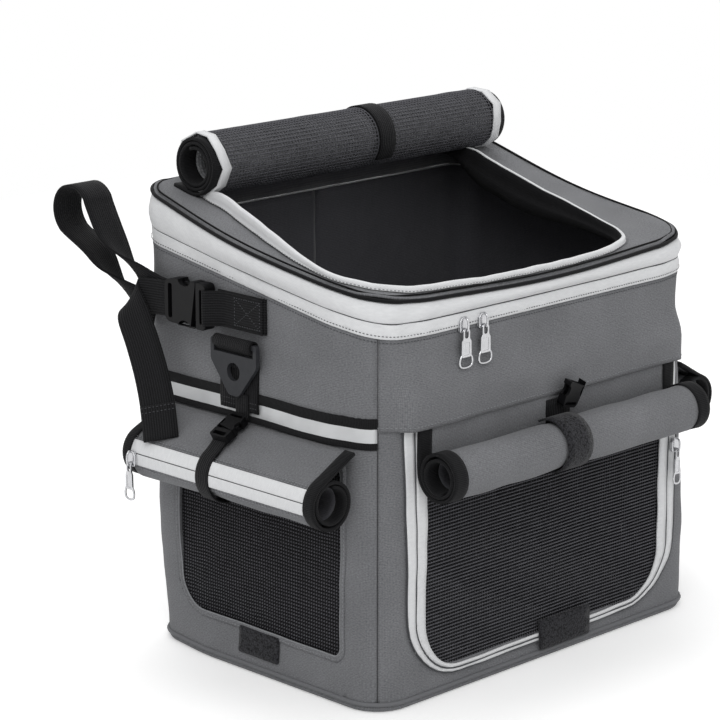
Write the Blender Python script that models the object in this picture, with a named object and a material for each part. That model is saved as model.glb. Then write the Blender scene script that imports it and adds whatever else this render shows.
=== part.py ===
"""Soft-sided pet basket that hangs from a handlebar.

Fabric walls on a board base, a sloping zipped lid with a wire-edged opening,
a zipped mesh door in front, a mesh window in each side, rolled-up covers,
strap buckles, D-rings and zip sliders. Metres, +Z up. X runs along the
handlebar, -Y is the front, and the origin is the middle of the underside.
"""
import math

import bmesh
import bpy
from mathutils import Matrix, Vector

MM = 0.001

# Overall body
WIDTH = 340 * MM
DEPTH = 240 * MM
CORNER_RADIUS = 27 * MM
CORNER_STEPS = 7
FILLET_STEPS = 6
SMALL_FILLET_STEPS = 3
HOLE_STEPS = 24
SEAT_GAP = 0.3 * MM
CUT_OVERRUN = 20 * MM

# Heights of the seams, at the front face and at the back face
SEAM_HEIGHT = 213.5 * MM
COLLAR_HEIGHT_FRONT = 41.5 * MM
COLLAR_HEIGHT_BACK = 85.5 * MM
TAPE_HEIGHT_FRONT = 14 * MM
TAPE_HEIGHT_BACK = 10 * MM
SKIRT_HEIGHT_FRONT = 15 * MM
SKIRT_HEIGHT_BACK = 26 * MM
TAPE_FRONT = SEAM_HEIGHT + COLLAR_HEIGHT_FRONT
TAPE_BACK = SEAM_HEIGHT + COLLAR_HEIGHT_BACK
ZIP_FRONT = TAPE_FRONT + TAPE_HEIGHT_FRONT
ZIP_BACK = TAPE_BACK + TAPE_HEIGHT_BACK
PIPING_FRONT = ZIP_FRONT + SKIRT_HEIGHT_FRONT
PIPING_BACK = ZIP_BACK + SKIRT_HEIGHT_BACK

# Layers of the wall, counted inwards from the outer face
WALL_THICKNESS = 3 * MM
NET_THICKNESS = 1 * MM
LINING_THICKNESS = 1.2 * MM
BASE_THICKNESS = 5 * MM
BASE_EDGE_BEVEL = 2 * MM

# Floor cushion
CUSHION_HEIGHT = 22 * MM
CUSHION_EDGE_HEIGHT = 9 * MM
CUSHION_MARGIN = 4 * MM
CUSHION_DRAW_IN = 4 * MM
CUSHION_CORNER_RADIUS = 24 * MM
CUSHION_CHANNEL_DEPTH = 4 * MM
CUSHION_CHANNEL_WIDTH = 9 * MM
CUSHION_CHANNEL_SPACING = 100 * MM
CUSHION_CHANNELS = 2
CUSHION_CELLS_X = 30
CUSHION_CELLS_Y = 16
# Powers of the cushion's curves: its plan corners, and its crown along X, Y
CUSHION_CORNER_POWER = 8
CUSHION_CROWN_POWER_X = 6
CUSHION_CROWN_POWER_Y = 4

# Side windows
WINDOW_FRONT_MARGIN = 35 * MM
WINDOW_REAR_MARGIN = 40 * MM
WINDOW_TOP_DROP = 41.5 * MM
WINDOW_FRONT = DEPTH / 2 - WINDOW_FRONT_MARGIN
WINDOW_REAR = DEPTH / 2 - WINDOW_REAR_MARGIN
WINDOW_BOTTOM = 34 * MM
WINDOW_TOP = SEAM_HEIGHT - WINDOW_TOP_DROP
WINDOW_CORNER = 8 * MM
WINDOW_REAR_CORNER = 24 * MM
WINDOW_LAP = 5 * MM
WINDOW_GAPS_Y = 9
WINDOW_GAPS_Z = 7
NET_BAR = 3.2 * MM

# Reflective bands on the sides
BAND_DROP = 6.5 * MM
BAND_WIDTH = 22 * MM
BAND_TOP = SEAM_HEIGHT - BAND_DROP
BAND_BOTTOM = BAND_TOP - BAND_WIDTH
BAND_THICKNESS = 1.5 * MM

# Front doorway, its two zip tapes and its net
DOOR_MARGIN = 36 * MM
DOOR_DROP = 8 * MM
DOOR_HALF_WIDTH = WIDTH / 2 - DOOR_MARGIN
DOOR_BOTTOM = 18 * MM
DOOR_CORNER = 44 * MM
DOOR_TOP = SEAM_HEIGHT - DOOR_DROP
DOOR_CLEARANCE = 0.7 * MM
DOOR_TAPE_WIDTH = 8 * MM
DOOR_TAPE_THICKNESS = 2 * MM
DOOR_TAPE_PROUD = 1.5 * MM
BODY_TAPE_WIDTH = 8 * MM
BODY_TAPE_THICKNESS = 1.2 * MM
LINING_DOOR_MARGIN = 2 * MM
DOOR_NET_INSET = 1.5 * MM
DOOR_GAPS_X = 14
DOOR_GAPS_Z = 10

# Flap, valance and roll in front of the door
SHEET_THICKNESS = 1.5 * MM
BINDING_THICKNESS = 2 * MM
VALANCE_HEIGHT = 16.5 * MM
VALANCE_BOTTOM = SEAM_HEIGHT - VALANCE_HEIGHT
VALANCE_THICKNESS = 2 * MM
VALANCE_HALF_WIDTH = DOOR_HALF_WIDTH + BODY_TAPE_WIDTH
FRONT_ROLL_HALF_LENGTH = DOOR_HALF_WIDTH
FRONT_ROLL_RADIUS = 18 * MM
FRONT_ROLL_DROP = 46.5 * MM
FRONT_ROLL_HEIGHT = SEAM_HEIGHT - FRONT_ROLL_DROP
FRONT_ROLL_TURNS = 2.3
ROLL_PITCH = 3.1 * MM
ROLL_STEPS = 16
BINDING_WIDTH = 12 * MM
HEM_STEPS = 3

# Strap and clip half on the front roll
FRONT_STRAP_X = -10 * MM
FRONT_STRAP_WIDTH = 25 * MM
FRONT_STRAP_FIRST_ANGLE = 70
FRONT_STRAP_SWEEP_ANGLE = 170
STRAP_THICKNESS = 1.2 * MM
FRONT_CLIP_X = 4 * MM
FRONT_CLIP_LIFT = 3.5 * MM
FRONT_CLIP_BOTTOM = FRONT_ROLL_HEIGHT + FRONT_ROLL_RADIUS + FRONT_CLIP_LIFT

# Covers rolled up over the side windows
SIDE_ROLL_END_MARGIN = 20 * MM
SIDE_ROLL_HALF_LENGTH = DEPTH / 2 - SIDE_ROLL_END_MARGIN
SIDE_ROLL_RADIUS = 18 * MM
SIDE_ROLL_REACH = 22.5 * MM
SIDE_ROLL_DROP = 33 * MM
SIDE_ROLL_HEIGHT = BAND_BOTTOM - SIDE_ROLL_DROP
SIDE_ROLL_TURNS = 1.9
SIDE_FLAP_REACH = 1.4 * MM
SIDE_STRAP_Y = 8 * MM
SIDE_STRAP_WIDTH = 13 * MM
SIDE_CLIP_START = 1 * MM
SIDE_STRAP_START = 18.5 * MM
SIDE_STRAP_SWEEP_ANGLE = 215

# Lid: panel, opening and rolled mesh cover
LID_THICKNESS = 3 * MM
LID_SKIRT_THICKNESS = 2.5 * MM
PIPING_RADIUS = 2 * MM
OPENING_SIDE_MARGIN = 38 * MM
OPENING_FRONT_MARGIN = 17 * MM
OPENING_BACK_MARGIN = 50 * MM
OPENING_HALF_WIDTH = WIDTH / 2 - OPENING_SIDE_MARGIN
OPENING_FRONT = DEPTH / 2 - OPENING_FRONT_MARGIN
OPENING_BACK = DEPTH / 2 - OPENING_BACK_MARGIN
OPENING_CORNER = 35 * MM
RIM_WIDTH = 9 * MM
RIM_THICKNESS = 3 * MM
TOP_ROLL_END_MARGIN = 20 * MM
TOP_ROLL_HALF_LENGTH = WIDTH / 2 - TOP_ROLL_END_MARGIN
TOP_ROLL_RADIUS = 20.5 * MM
TOP_ROLL_SETBACK = 16 * MM
TOP_ROLL_Y = OPENING_BACK + TOP_ROLL_SETBACK
TOP_ROLL_TURNS = 2.6
TOP_BINDING_WIDTH = 14 * MM
TOP_TIE_X = 20 * MM
TOP_TIE_WIDTH = 16 * MM
TOP_TIE_SWEEP_ANGLE = 235

# D-rings and the webbing that holds them
RING_Y = 12 * MM
RING_RISE = 27 * MM
RING_HEIGHT = SEAM_HEIGHT + RING_RISE
RING_HALF_WIDTH = 23 * MM
RING_DROP = 37 * MM
RING_SHOULDER = 14 * MM
RING_APEX_HALF_WIDTH = 5 * MM
RING_THICKNESS = 3.4 * MM
RING_BAR = 3.6 * MM
RING_SLOT_HEIGHT = 5.8 * MM
RING_HOLE_RADIUS = 6.5 * MM
RING_HOLE_DROP = 20 * MM
RING_CORNER = 5 * MM
RING_WEB_WIDTH = 38 * MM
RING_WEB_DROP = 5.5 * MM
RING_WEB_BOTTOM = SEAM_HEIGHT - RING_WEB_DROP
RING_WEB_THICKNESS = 1.4 * MM
RING_LOOP_SWEEP_ANGLE = 300
RING_PIVOT_CLEARANCE = 0.4 * MM
RING_SLOT_CLEARANCE = 0.8 * MM

# Handlebar straps
WEB_WIDTH = 25 * MM
WEB_THICKNESS = 1.5 * MM
BUCKLE_RISE = 48.5 * MM
BUCKLE_HEIGHT = SEAM_HEIGHT + BUCKLE_RISE
ANCHOR_FRONT = 14 * MM
BUCKLE_MOUTH_Y = 46 * MM
BUCKLE_LIFT = 2.1 * MM
BAR_SETBACK = 35 * MM
BAR_RISE = 54 * MM
BAR_Y = DEPTH / 2 + BAR_SETBACK
BAR_HEIGHT = BUCKLE_HEIGHT + BAR_RISE
LOOP_RADIUS = 18.5 * MM
LOOP_REACH = 19.5 * MM
LOOP_FIRST_ANGLE = 165
LOOP_LAST_ANGLE = -65
LOOP_STEP_ANGLE = 23
RIBBON_STEPS = 3

# Zip sliders and pullers
SLIDER_WIDTH = 9 * MM
SLIDER_LENGTH = 11 * MM
SLIDER_THICKNESS = 3 * MM
SLIDER_BEVEL = 0.8 * MM
BAIL_WIDTH = 2.4 * MM
BAIL_LENGTH = 10 * MM
BAIL_LEG = 1.4 * MM
BAIL_HEIGHT = 3.6 * MM
BAIL_ROOF = 1.2 * MM
PULLER_WIDTH = 7 * MM
PULLER_LENGTH = 29 * MM
PULLER_THICKNESS = 1.4 * MM
PULLER_BAR = 1.6 * MM
PULLER_EYE_LENGTH = 5.5 * MM
PULLER_EYE_WIDTH = 4 * MM
PULLER_CORNER = 1.6 * MM
BAIL_REST = 1.4 * MM
TOP_SLIDER_LEFT_X = -90 * MM
TOP_SLIDER_RIGHT_X = -71 * MM
TOP_SLIDER_RISE = 7 * MM
TOP_SLIDER_HEIGHT = TAPE_FRONT + TOP_SLIDER_RISE
FRONT_SLIDER_CLEARANCE = 0.5 * MM
FRONT_SLIDER_X = DOOR_HALF_WIDTH + FRONT_SLIDER_CLEARANCE + SLIDER_WIDTH / 2
FRONT_SLIDER_HEIGHT = 132 * MM
POCKET_SLIDER_MARGIN = 20 * MM
POCKET_SLIDER_Y = SIDE_ROLL_HALF_LENGTH - POCKET_SLIDER_MARGIN


class BuckleSize:
    """Sizes of a side-release buckle, from the mouth of its female half."""

    def __init__(self, width, thickness, female, bar, prong, wall, window):
        self.width = width
        self.thickness = thickness
        self.female = female
        self.bar = bar
        self.prong = prong
        self.wall = wall
        self.window = window


STRAP_BUCKLE = BuckleSize(33 * MM, 10 * MM, 32 * MM, 10 * MM, 22 * MM, 2 * MM, 10 * MM)
COVER_CLIP = BuckleSize(16 * MM, 6.5 * MM, 16 * MM, 8 * MM, 10.5 * MM, 1.3 * MM, 5 * MM)
FRONT_CLIP = BuckleSize(17 * MM, 6.5 * MM, 23 * MM, 8 * MM, 10.5 * MM, 1.3 * MM, 6 * MM)
PRONG_CLEARANCE = 0.5 * MM
TONGUE_SHARES = (0.72, 0.36, 0.12)

# Finishes
GREY_FABRIC = ("grey_polyester", "6E6F71", 0.85, 0.0)
BLACK_WEBBING = ("black_webbing", "1B1B1D", 0.8, 0.0)
BLACK_MESH = ("black_mesh", "101012", 0.7, 0.0)
PALE_TAPE = ("pale_tape", "D4D5D6", 0.6, 0.0)
SILVER_BAND = ("silver_band", "C9CBCD", 0.35, 0.2)
BLACK_PLASTIC = ("black_plastic", "141416", 0.4, 0.0)
GREY_PLASTIC = ("dark_grey_plastic", "3A3B3D", 0.45, 0.0)
BRIGHT_METAL = ("nickel_plate", "C8C9CB", 0.2, 1.0)
LINING_FABRIC = ("black_lining", "17171A", 0.8, 0.0)
CUSHION_FLEECE = ("grey_fleece", "3C3D40", 0.95, 0.0)


def clear_scene():
    for item in list(bpy.data.objects):
        bpy.data.objects.remove(item)


def linear(channel):
    """One sRGB channel, 0 to 1, as linear light."""
    if channel <= 0.04045:
        return channel / 12.92
    return ((channel + 0.055) / 1.055) ** 2.4


def material(finish):
    name, colour, roughness, metallic = finish
    made = bpy.data.materials.get(name)
    if made:
        return made
    made = bpy.data.materials.new(name)
    made.use_nodes = True
    shader = made.node_tree.nodes["Principled BSDF"]
    channels = [linear(int(colour[i:i + 2], 16) / 255) for i in (0, 2, 4)]
    shader.inputs["Base Color"].default_value = (*channels, 1.0)
    shader.inputs["Roughness"].default_value = roughness
    shader.inputs["Metallic"].default_value = metallic
    return made


def add_object(name, bm, finish, place=None):
    """Turn a bmesh into a named object with one material."""
    mesh = bpy.data.meshes.new(name)
    bm.to_mesh(mesh)
    bm.free()
    item = bpy.data.objects.new(name, mesh)
    bpy.context.collection.objects.link(item)
    if finish:
        mesh.materials.append(material(finish))
    if place:
        item.matrix_world = place
    return item


def carry(carrier, item):
    """Parent an object to another one without moving it."""
    item.parent = carrier
    item.matrix_parent_inverse = carrier.matrix_world.inverted()


def pivot(name, origin, carried):
    """Empty on a joint's axis, which carries the pieces of its body."""
    centre = bpy.data.objects.new(name, None)
    bpy.context.collection.objects.link(centre)
    centre.matrix_world = Matrix.Translation(Vector(origin))
    for item_name in carried:
        carry(centre, bpy.data.objects[item_name])


def thicken(item, thickness, offset=0.0):
    """Give a sheet its thickness: offset -1 grows it inwards, 0 both ways."""
    solid = item.modifiers.new("Thickness", "SOLIDIFY")
    solid.thickness = thickness
    solid.offset = offset
    solid.use_even_offset = True


def combine(item, other, operation):
    """Cut or join another object, which then stays as a hidden guide."""
    step = item.modifiers.new(operation.title(), "BOOLEAN")
    step.operation = operation
    step.object = other
    carry(item, other)
    other.hide_render = True
    other.display_type = "WIRE"
    return item


def bevel(item, width, segments=2):
    edge = item.modifiers.new("Bevel", "BEVEL")
    edge.width = width
    edge.segments = segments


def slope(front, back):
    """Height along Y of a line with one height at each end of the basket."""
    return lambda y: front + (back - front) * (y + DEPTH / 2) / DEPTH


TAPE_LINE = slope(TAPE_FRONT, TAPE_BACK)
ZIP_LINE = slope(ZIP_FRONT, ZIP_BACK)
PIPING_LINE = slope(PIPING_FRONT, PIPING_BACK)
LID_ANGLE = math.atan2(PIPING_BACK - PIPING_FRONT, DEPTH)


def level(height):
    return lambda y: height


def shifted(line, rise):
    return lambda y: line(y) + rise


def frame_at(origin, along, across):
    """Matrix whose X is along, Y is across and Z is their cross product."""
    x = Vector(along).normalized()
    z = x.cross(Vector(across)).normalized()
    y = z.cross(x)
    turned = Matrix((x, y, z)).transposed().to_4x4()
    return Matrix.Translation(Vector(origin)) @ turned


def rounded_outline(half_x, front_y, back_y, radius):
    """Plan outline, anticlockwise, from the front right corner."""
    points = []
    centres = (
        (half_x - radius, front_y + radius, -90),
        (half_x - radius, back_y - radius, 0),
        (radius - half_x, back_y - radius, 90),
        (radius - half_x, front_y + radius, 180),
    )
    for centre_x, centre_y, first_angle in centres:
        for step in range(CORNER_STEPS + 1):
            angle = math.radians(first_angle + 90 * step / CORNER_STEPS)
            x = centre_x + radius * math.cos(angle)
            y = centre_y + radius * math.sin(angle)
            points.append(Vector((x, y)))
    return points


def body_outline(outwards=0.0):
    """Outline of the basket's outer face, moved outwards by a distance."""
    radius = CORNER_RADIUS + outwards
    return rounded_outline(WIDTH / 2 + outwards, -DEPTH / 2 - outwards, DEPTH / 2 + outwards, radius)


def side_path(corner, outwards=0.0):
    """From the middle of one rounded corner to the middle of the next."""
    ring = body_outline(outwards)
    per_corner = CORNER_STEPS + 1
    first = corner * per_corner + per_corner // 2
    path = [ring[(first + i) % len(ring)] for i in range(-1, per_corner + 1)]
    return [(path[0] + path[1]) / 2, *path[1:-1], (path[-2] + path[-1]) / 2]


def shorten(points, amount):
    """Move the two ends of an open line inwards along it."""
    first = points[0] + (points[1] - points[0]).normalized() * amount
    last = points[-1] + (points[-2] - points[-1]).normalized() * amount
    return [first, *points[1:-1], last]


def fillet(points, radii, steps=FILLET_STEPS):
    """Round each corner of a closed outline with its own radius."""
    rounded = []
    for i, (corner, radius) in enumerate(zip(points, radii)):
        corner = Vector(corner)
        before = (Vector(points[i - 1]) - corner).normalized()
        after = (Vector(points[(i + 1) % len(points)]) - corner).normalized()
        if radius == 0:
            rounded.append(corner)
            continue
        half_angle = before.angle(after) / 2
        centre = corner + (before + after).normalized() * radius / math.sin(half_angle)
        start = corner + before * radius / math.tan(half_angle) - centre
        end = corner + after * radius / math.tan(half_angle) - centre
        first_angle = math.atan2(start.y, start.x)
        turn = math.atan2(end.y, end.x) - first_angle
        turn = (turn + math.pi) % (2 * math.pi) - math.pi
        for step in range(steps + 1):
            angle = first_angle + turn * step / steps
            rounded.append(centre + radius * Vector((math.cos(angle), math.sin(angle))))
    return rounded


def prism(name, outline, depth, finish, place, start=0.0):
    """Extrude a flat outline along the Z of its own frame, from a start."""
    bm = bmesh.new()
    base = bm.faces.new([bm.verts.new((p[0], p[1], start)) for p in outline])
    pulled = bmesh.ops.extrude_face_region(bm, geom=[base])
    moved = [v for v in pulled["geom"] if isinstance(v, bmesh.types.BMVert)]
    bmesh.ops.translate(bm, vec=(0, 0, depth), verts=moved)
    bmesh.ops.recalc_face_normals(bm, faces=bm.faces)
    return add_object(name, bm, finish, place)


def block(name, low, high, finish, place):
    """Box between two corners in its own frame."""
    outline = [(low[0], low[1]), (high[0], low[1]), (high[0], high[1]), (low[0], high[1])]
    return prism(name, outline, high[2] - low[2], finish, place, low[2])


def strip(name, path, low, high, thickness, finish, closed=False):
    """Upright band along a plan path, thickened towards the inside."""
    bm = bmesh.new()
    lower = [bm.verts.new((p.x, p.y, low(p.y))) for p in path]
    upper = [bm.verts.new((p.x, p.y, high(p.y))) for p in path]
    count = len(path) if closed else len(path) - 1
    for i in range(count):
        j = (i + 1) % len(path)
        bm.faces.new((lower[i], lower[j], upper[j], upper[i]))
    item = add_object(name, bm, finish)
    thicken(item, thickness, -1.0)
    return item


def cell_sheet(name, columns, rows, present, place_point, thickness, finish):
    """Sheet of cells, some left out, whose corners a function places."""
    bm = bmesh.new()
    corners = {}

    def corner(i, j):
        if (i, j) not in corners:
            corners[i, j] = bm.verts.new(place_point(columns[i], rows[j]))
        return corners[i, j]

    for i in range(len(columns) - 1):
        for j in range(len(rows) - 1):
            if present(i, j):
                bm.faces.new((corner(i, j), corner(i + 1, j), corner(i + 1, j + 1), corner(i, j + 1)))
    item = add_object(name, bm, finish)
    thicken(item, thickness)
    return item


def net_lines(low, high, gaps, bar):
    """Edges of the bars of a net: bar, gap, bar, and so on."""
    pitch = (high - low - bar) / gaps
    lines = []
    for i in range(gaps + 1):
        lines += [low + i * pitch, low + i * pitch + bar]
    return lines


def net(name, low, high, gaps, place, outline):
    """Flat net in the XY plane of its frame, trimmed to an outline."""
    columns = net_lines(low[0], high[0], gaps[0], NET_BAR)
    rows = net_lines(low[1], high[1], gaps[1], NET_BAR)
    item = cell_sheet(
        name, columns, rows,
        lambda i, j: i % 2 == 0 or j % 2 == 0,
        lambda x, y: place @ Vector((x, y, 0)),
        NET_THICKNESS, BLACK_MESH)
    below = place @ Matrix.Translation((0, 0, -CUT_OVERRUN / 2))
    guide = prism(name + "_trim", outline, CUT_OVERRUN, None, below)
    return combine(item, guide, "INTERSECT")


def side_face(side, reach=0.0):
    """Frame that looks at a side: X runs along world Y and Y runs up."""
    return frame_at((side * (WIDTH / 2 + reach), 0, 0), (0, 1, 0), (0, 0, 1))


def front_face(reach=0.0):
    """Frame that looks at the front: X along world X, Y up, Z forwards."""
    return frame_at((0, -DEPTH / 2 - reach, 0), (1, 0, 0), (0, 0, 1))


def window_outline(margin=0.0):
    """Window in a side face as (y, z), grown by a margin."""
    front = -WINDOW_FRONT - margin
    rear = WINDOW_REAR + margin
    low = WINDOW_BOTTOM - margin
    high = WINDOW_TOP + margin
    points = [(front, low), (rear, low), (rear, high), (front, high)]
    radii = [WINDOW_CORNER, WINDOW_REAR_CORNER, WINDOW_CORNER, WINDOW_CORNER]
    return fillet(points, [r + margin for r in radii])


def doorway_outline(inset, top):
    """U shape of the doorway as (x, z), made smaller by an inset."""
    half = DOOR_HALF_WIDTH - inset
    low = DOOR_BOTTOM + inset
    corner = DOOR_CORNER - inset
    points = [(-half, top), (-half, low), (half, low), (half, top)]
    return fillet(points, [0, corner, corner, 0])


def cut_side_windows(item, margin):
    for side in (-1, 1):
        inside = side_face(side, -CUT_OVERRUN / 2)
        start = inside if side > 0 else side_face(side, CUT_OVERRUN / 2)
        name = item.name + ("_left_cut" if side < 0 else "_right_cut")
        combine(item, prism(name, window_outline(margin), CUT_OVERRUN, None, start), "DIFFERENCE")


def make_base_panel():
    """Board in fabric, under the walls."""
    item = prism("base_panel", body_outline(), BASE_THICKNESS, GREY_FABRIC, Matrix())
    bevel(item, BASE_EDGE_BEVEL)


def make_walls():
    """Four fabric walls that meet in the middle of the rounded corners."""
    low = level(BASE_THICKNESS + SEAT_GAP)
    high = level(SEAM_HEIGHT - SEAT_GAP)
    for name, corner in (("right_wall", 0), ("back_wall", 1), ("left_wall", 2), ("front_wall", 3)):
        path = shorten(side_path(corner), SEAT_GAP / 2)
        wall = strip(name, path, low, high, WALL_THICKNESS, GREY_FABRIC)
        if name == "front_wall":
            outline = doorway_outline(0, SEAM_HEIGHT + CUT_OVERRUN)
            cut = prism("doorway_cut", outline, CUT_OVERRUN, None, front_face(-CUT_OVERRUN / 2))
            combine(wall, cut, "DIFFERENCE")
        if name in ("left_wall", "right_wall"):
            side = -1 if name == "left_wall" else 1
            place = side_face(side, -side * CUT_OVERRUN / 2)
            cut = prism(name + "_cut", window_outline(), CUT_OVERRUN, None, place)
            combine(wall, cut, "DIFFERENCE")


def make_collar():
    """Upper band of fabric between the wall seam and the zip."""
    strip("collar", body_outline(), level(SEAM_HEIGHT + SEAT_GAP), shifted(TAPE_LINE, -SEAT_GAP),
          WALL_THICKNESS, GREY_FABRIC, closed=True)


def make_lining():
    """Thin lining inside the walls, with the windows and doorway open."""
    depth_in = WALL_THICKNESS + NET_THICKNESS + 2 * SEAT_GAP
    path = body_outline(-depth_in)
    low = level(BASE_THICKNESS + SEAT_GAP)
    lining = strip("lining", path, low, shifted(TAPE_LINE, SEAT_GAP), LINING_THICKNESS,
                   LINING_FABRIC, closed=True)
    cut_side_windows(lining, 0)
    outline = doorway_outline(-LINING_DOOR_MARGIN, DOOR_TOP + LINING_DOOR_MARGIN)
    cut = prism("lining_door_cut", outline, CUT_OVERRUN, None, front_face(-CUT_OVERRUN / 2))
    combine(lining, cut, "DIFFERENCE")


def make_cushion():
    """Floor cushion: crowned, drawn in along its sides, with sewn channels."""
    half_x = WIDTH / 2 - WALL_THICKNESS - NET_THICKNESS - LINING_THICKNESS - CUSHION_MARGIN
    half_y = half_x - (WIDTH - DEPTH) / 2
    floor = BASE_THICKNESS + SEAT_GAP
    draw = CUSHION_DRAW_IN

    def plan(u, v):
        """Place on the rounded, drawn-in outline for u and v from -1 to 1."""
        corner = CUSHION_CORNER_RADIUS * (1 - 1 / math.sqrt(2)) * abs(u * v) ** CUSHION_CORNER_POWER
        x = u * (half_x - corner - draw * (1 - v * v) * u * u)
        y = v * (half_y - corner - draw * (1 - u * u) * v * v)
        return x, y

    def top(x, u, v):
        crown = (1 - abs(u) ** CUSHION_CROWN_POWER_X) * (1 - abs(v) ** CUSHION_CROWN_POWER_Y)
        height = CUSHION_EDGE_HEIGHT + (CUSHION_HEIGHT - CUSHION_EDGE_HEIGHT) * crown
        for i in range(CUSHION_CHANNELS):
            line = (i - (CUSHION_CHANNELS - 1) / 2) * CUSHION_CHANNEL_SPACING
            height -= CUSHION_CHANNEL_DEPTH * crown * math.exp(-((x - line) / CUSHION_CHANNEL_WIDTH) ** 2)
        return height

    bm = bmesh.new()
    layers = []
    for on_top in (False, True):
        grid = {}
        for i in range(CUSHION_CELLS_X + 1):
            for j in range(CUSHION_CELLS_Y + 1):
                u = 2 * i / CUSHION_CELLS_X - 1
                v = 2 * j / CUSHION_CELLS_Y - 1
                x, y = plan(u, v)
                rise = top(x, u, v) if on_top else 0
                grid[i, j] = bm.verts.new((x, y, floor + rise))
        layers.append(grid)
    for grid in layers:
        for i in range(CUSHION_CELLS_X):
            for j in range(CUSHION_CELLS_Y):
                bm.faces.new((grid[i, j], grid[i + 1, j], grid[i + 1, j + 1], grid[i, j + 1]))
    rim = [(i, 0) for i in range(CUSHION_CELLS_X)]
    rim += [(CUSHION_CELLS_X, j) for j in range(CUSHION_CELLS_Y)]
    rim += [(CUSHION_CELLS_X - i, CUSHION_CELLS_Y) for i in range(CUSHION_CELLS_X)]
    rim += [(0, CUSHION_CELLS_Y - j) for j in range(CUSHION_CELLS_Y)]
    for here, there in zip(rim, rim[1:] + rim[:1]):
        bm.faces.new((layers[0][here], layers[0][there], layers[1][there], layers[1][here]))
    bmesh.ops.recalc_face_normals(bm, faces=bm.faces)
    add_object("floor_cushion", bm, CUSHION_FLEECE)


def make_bands():
    """Reflective band across the top of each side wall."""
    reach = SEAT_GAP + BAND_THICKNESS
    for name, corner in (("right_reflective_band", 0), ("left_reflective_band", 2)):
        path = shorten(side_path(corner, reach), SEAT_GAP)
        strip(name, path, level(BAND_BOTTOM), level(BAND_TOP), BAND_THICKNESS, SILVER_BAND)


def make_window_nets():
    for name, side in (("left_window_net", -1), ("right_window_net", 1)):
        inwards = WALL_THICKNESS + SEAT_GAP + NET_THICKNESS / 2
        place = side_face(side, -inwards)
        low = (-WINDOW_FRONT - WINDOW_LAP, WINDOW_BOTTOM - WINDOW_LAP)
        high = (WINDOW_REAR + WINDOW_LAP, WINDOW_TOP + WINDOW_LAP)
        gaps = (WINDOW_GAPS_Y, WINDOW_GAPS_Z)
        net(name, low, high, gaps, place, window_outline(WINDOW_LAP))


def make_zip_rings():
    """Tape ring on the body and the lid's skirt above the zip."""
    strip("body_zip_tape", body_outline(), TAPE_LINE, shifted(ZIP_LINE, -SEAT_GAP / 2),
          LID_SKIRT_THICKNESS, PALE_TAPE, closed=True)
    drop = SEAT_GAP + LID_SKIRT_THICKNESS * math.tan(LID_ANGLE)
    strip("lid_skirt", body_outline(), shifted(ZIP_LINE, SEAT_GAP / 2), shifted(PIPING_LINE, -drop),
          LID_SKIRT_THICKNESS, PALE_TAPE, closed=True)


def sloped_ring(name, outer, inner, lift, thickness, finish):
    """Flat ring between two outlines, lying in the plane of the lid."""
    bm = bmesh.new()
    outside = [bm.verts.new((p.x, p.y, PIPING_LINE(p.y) + lift)) for p in outer]
    inside = [bm.verts.new((p.x, p.y, PIPING_LINE(p.y) + lift)) for p in inner]
    for i in range(len(outer)):
        j = (i + 1) % len(outer)
        bm.faces.new((outside[i], outside[j], inside[j], inside[i]))
    item = add_object(name, bm, finish)
    thicken(item, thickness, 1.0)


def opening_outline(outwards=0.0):
    return rounded_outline(OPENING_HALF_WIDTH + outwards, -OPENING_FRONT - outwards,
                           OPENING_BACK + outwards, OPENING_CORNER + outwards)


def make_lid():
    """Sloping panel, its edge piping and the taped rim of its opening."""
    sloped_ring("lid_panel", body_outline(), opening_outline(RIM_WIDTH), 0, LID_THICKNESS, GREY_FABRIC)
    sloped_ring("opening_rim", opening_outline(RIM_WIDTH - SEAT_GAP), opening_outline(), 0,
                RIM_THICKNESS, PALE_TAPE)
    route = bpy.data.curves.new("lid_piping", "CURVE")
    route.dimensions = "3D"
    route.bevel_depth = PIPING_RADIUS
    route.bevel_resolution = 1
    spline = route.splines.new("POLY")
    path = body_outline(PIPING_RADIUS + SEAT_GAP)
    spline.points.add(len(path) - 1)
    for point, p in zip(spline.points, path):
        point.co = (p.x, p.y, PIPING_LINE(p.y) + LID_THICKNESS / 2, 1)
    spline.use_cyclic_u = True
    route.materials.append(material(BLACK_WEBBING))
    bpy.context.collection.objects.link(bpy.data.objects.new("lid_piping", route))


def arc_points(centre, radius, first, sweep, steps, shrink=0.0):
    """Points round a centre; the radius shrinks by a pitch each full turn."""
    points = []
    for i in range(steps + 1):
        turned = sweep * i / steps
        here = radius - shrink * abs(turned) / 360
        angle = math.radians(first + turned)
        points.append(Vector(centre) + here * Vector((math.cos(angle), math.sin(angle))))
    return points


def rolled_cover(roll_name, binding_name, path, half_length, binding_width, place, finishes):
    """Rolled sheet with bound ends, the two ends joined by its inner hem."""
    turn = len(path) - HEM_STEPS
    inner = half_length - binding_width
    sheet = path[:turn]
    sheet[-1] = sheet[-1] + (sheet[-2] - sheet[-1]).normalized() * SEAT_GAP
    cell_sheet(roll_name, range(len(sheet)), (-inner + SEAT_GAP, inner - SEAT_GAP),
               lambda i, j: True,
               lambda i, z: place @ Vector((sheet[i].x, sheet[i].y, z)),
               SHEET_THICKNESS, finishes[0])
    cell_sheet(binding_name, range(len(path)), (-half_length, -inner, inner, half_length),
               lambda i, j: j != 1 or i >= turn,
               lambda i, z: place @ Vector((path[i].x, path[i].y, z)),
               BINDING_THICKNESS, finishes[1])


def bent_strap(name, path, width, place, finish, thickness=STRAP_THICKNESS):
    """Strap whose profile lies in the XY plane of its frame."""
    cell_sheet(name, range(len(path)), (-width / 2, width / 2),
               lambda i, j: True,
               lambda i, z: place @ Vector((path[i].x, path[i].y, z)),
               thickness, finish)


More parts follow.
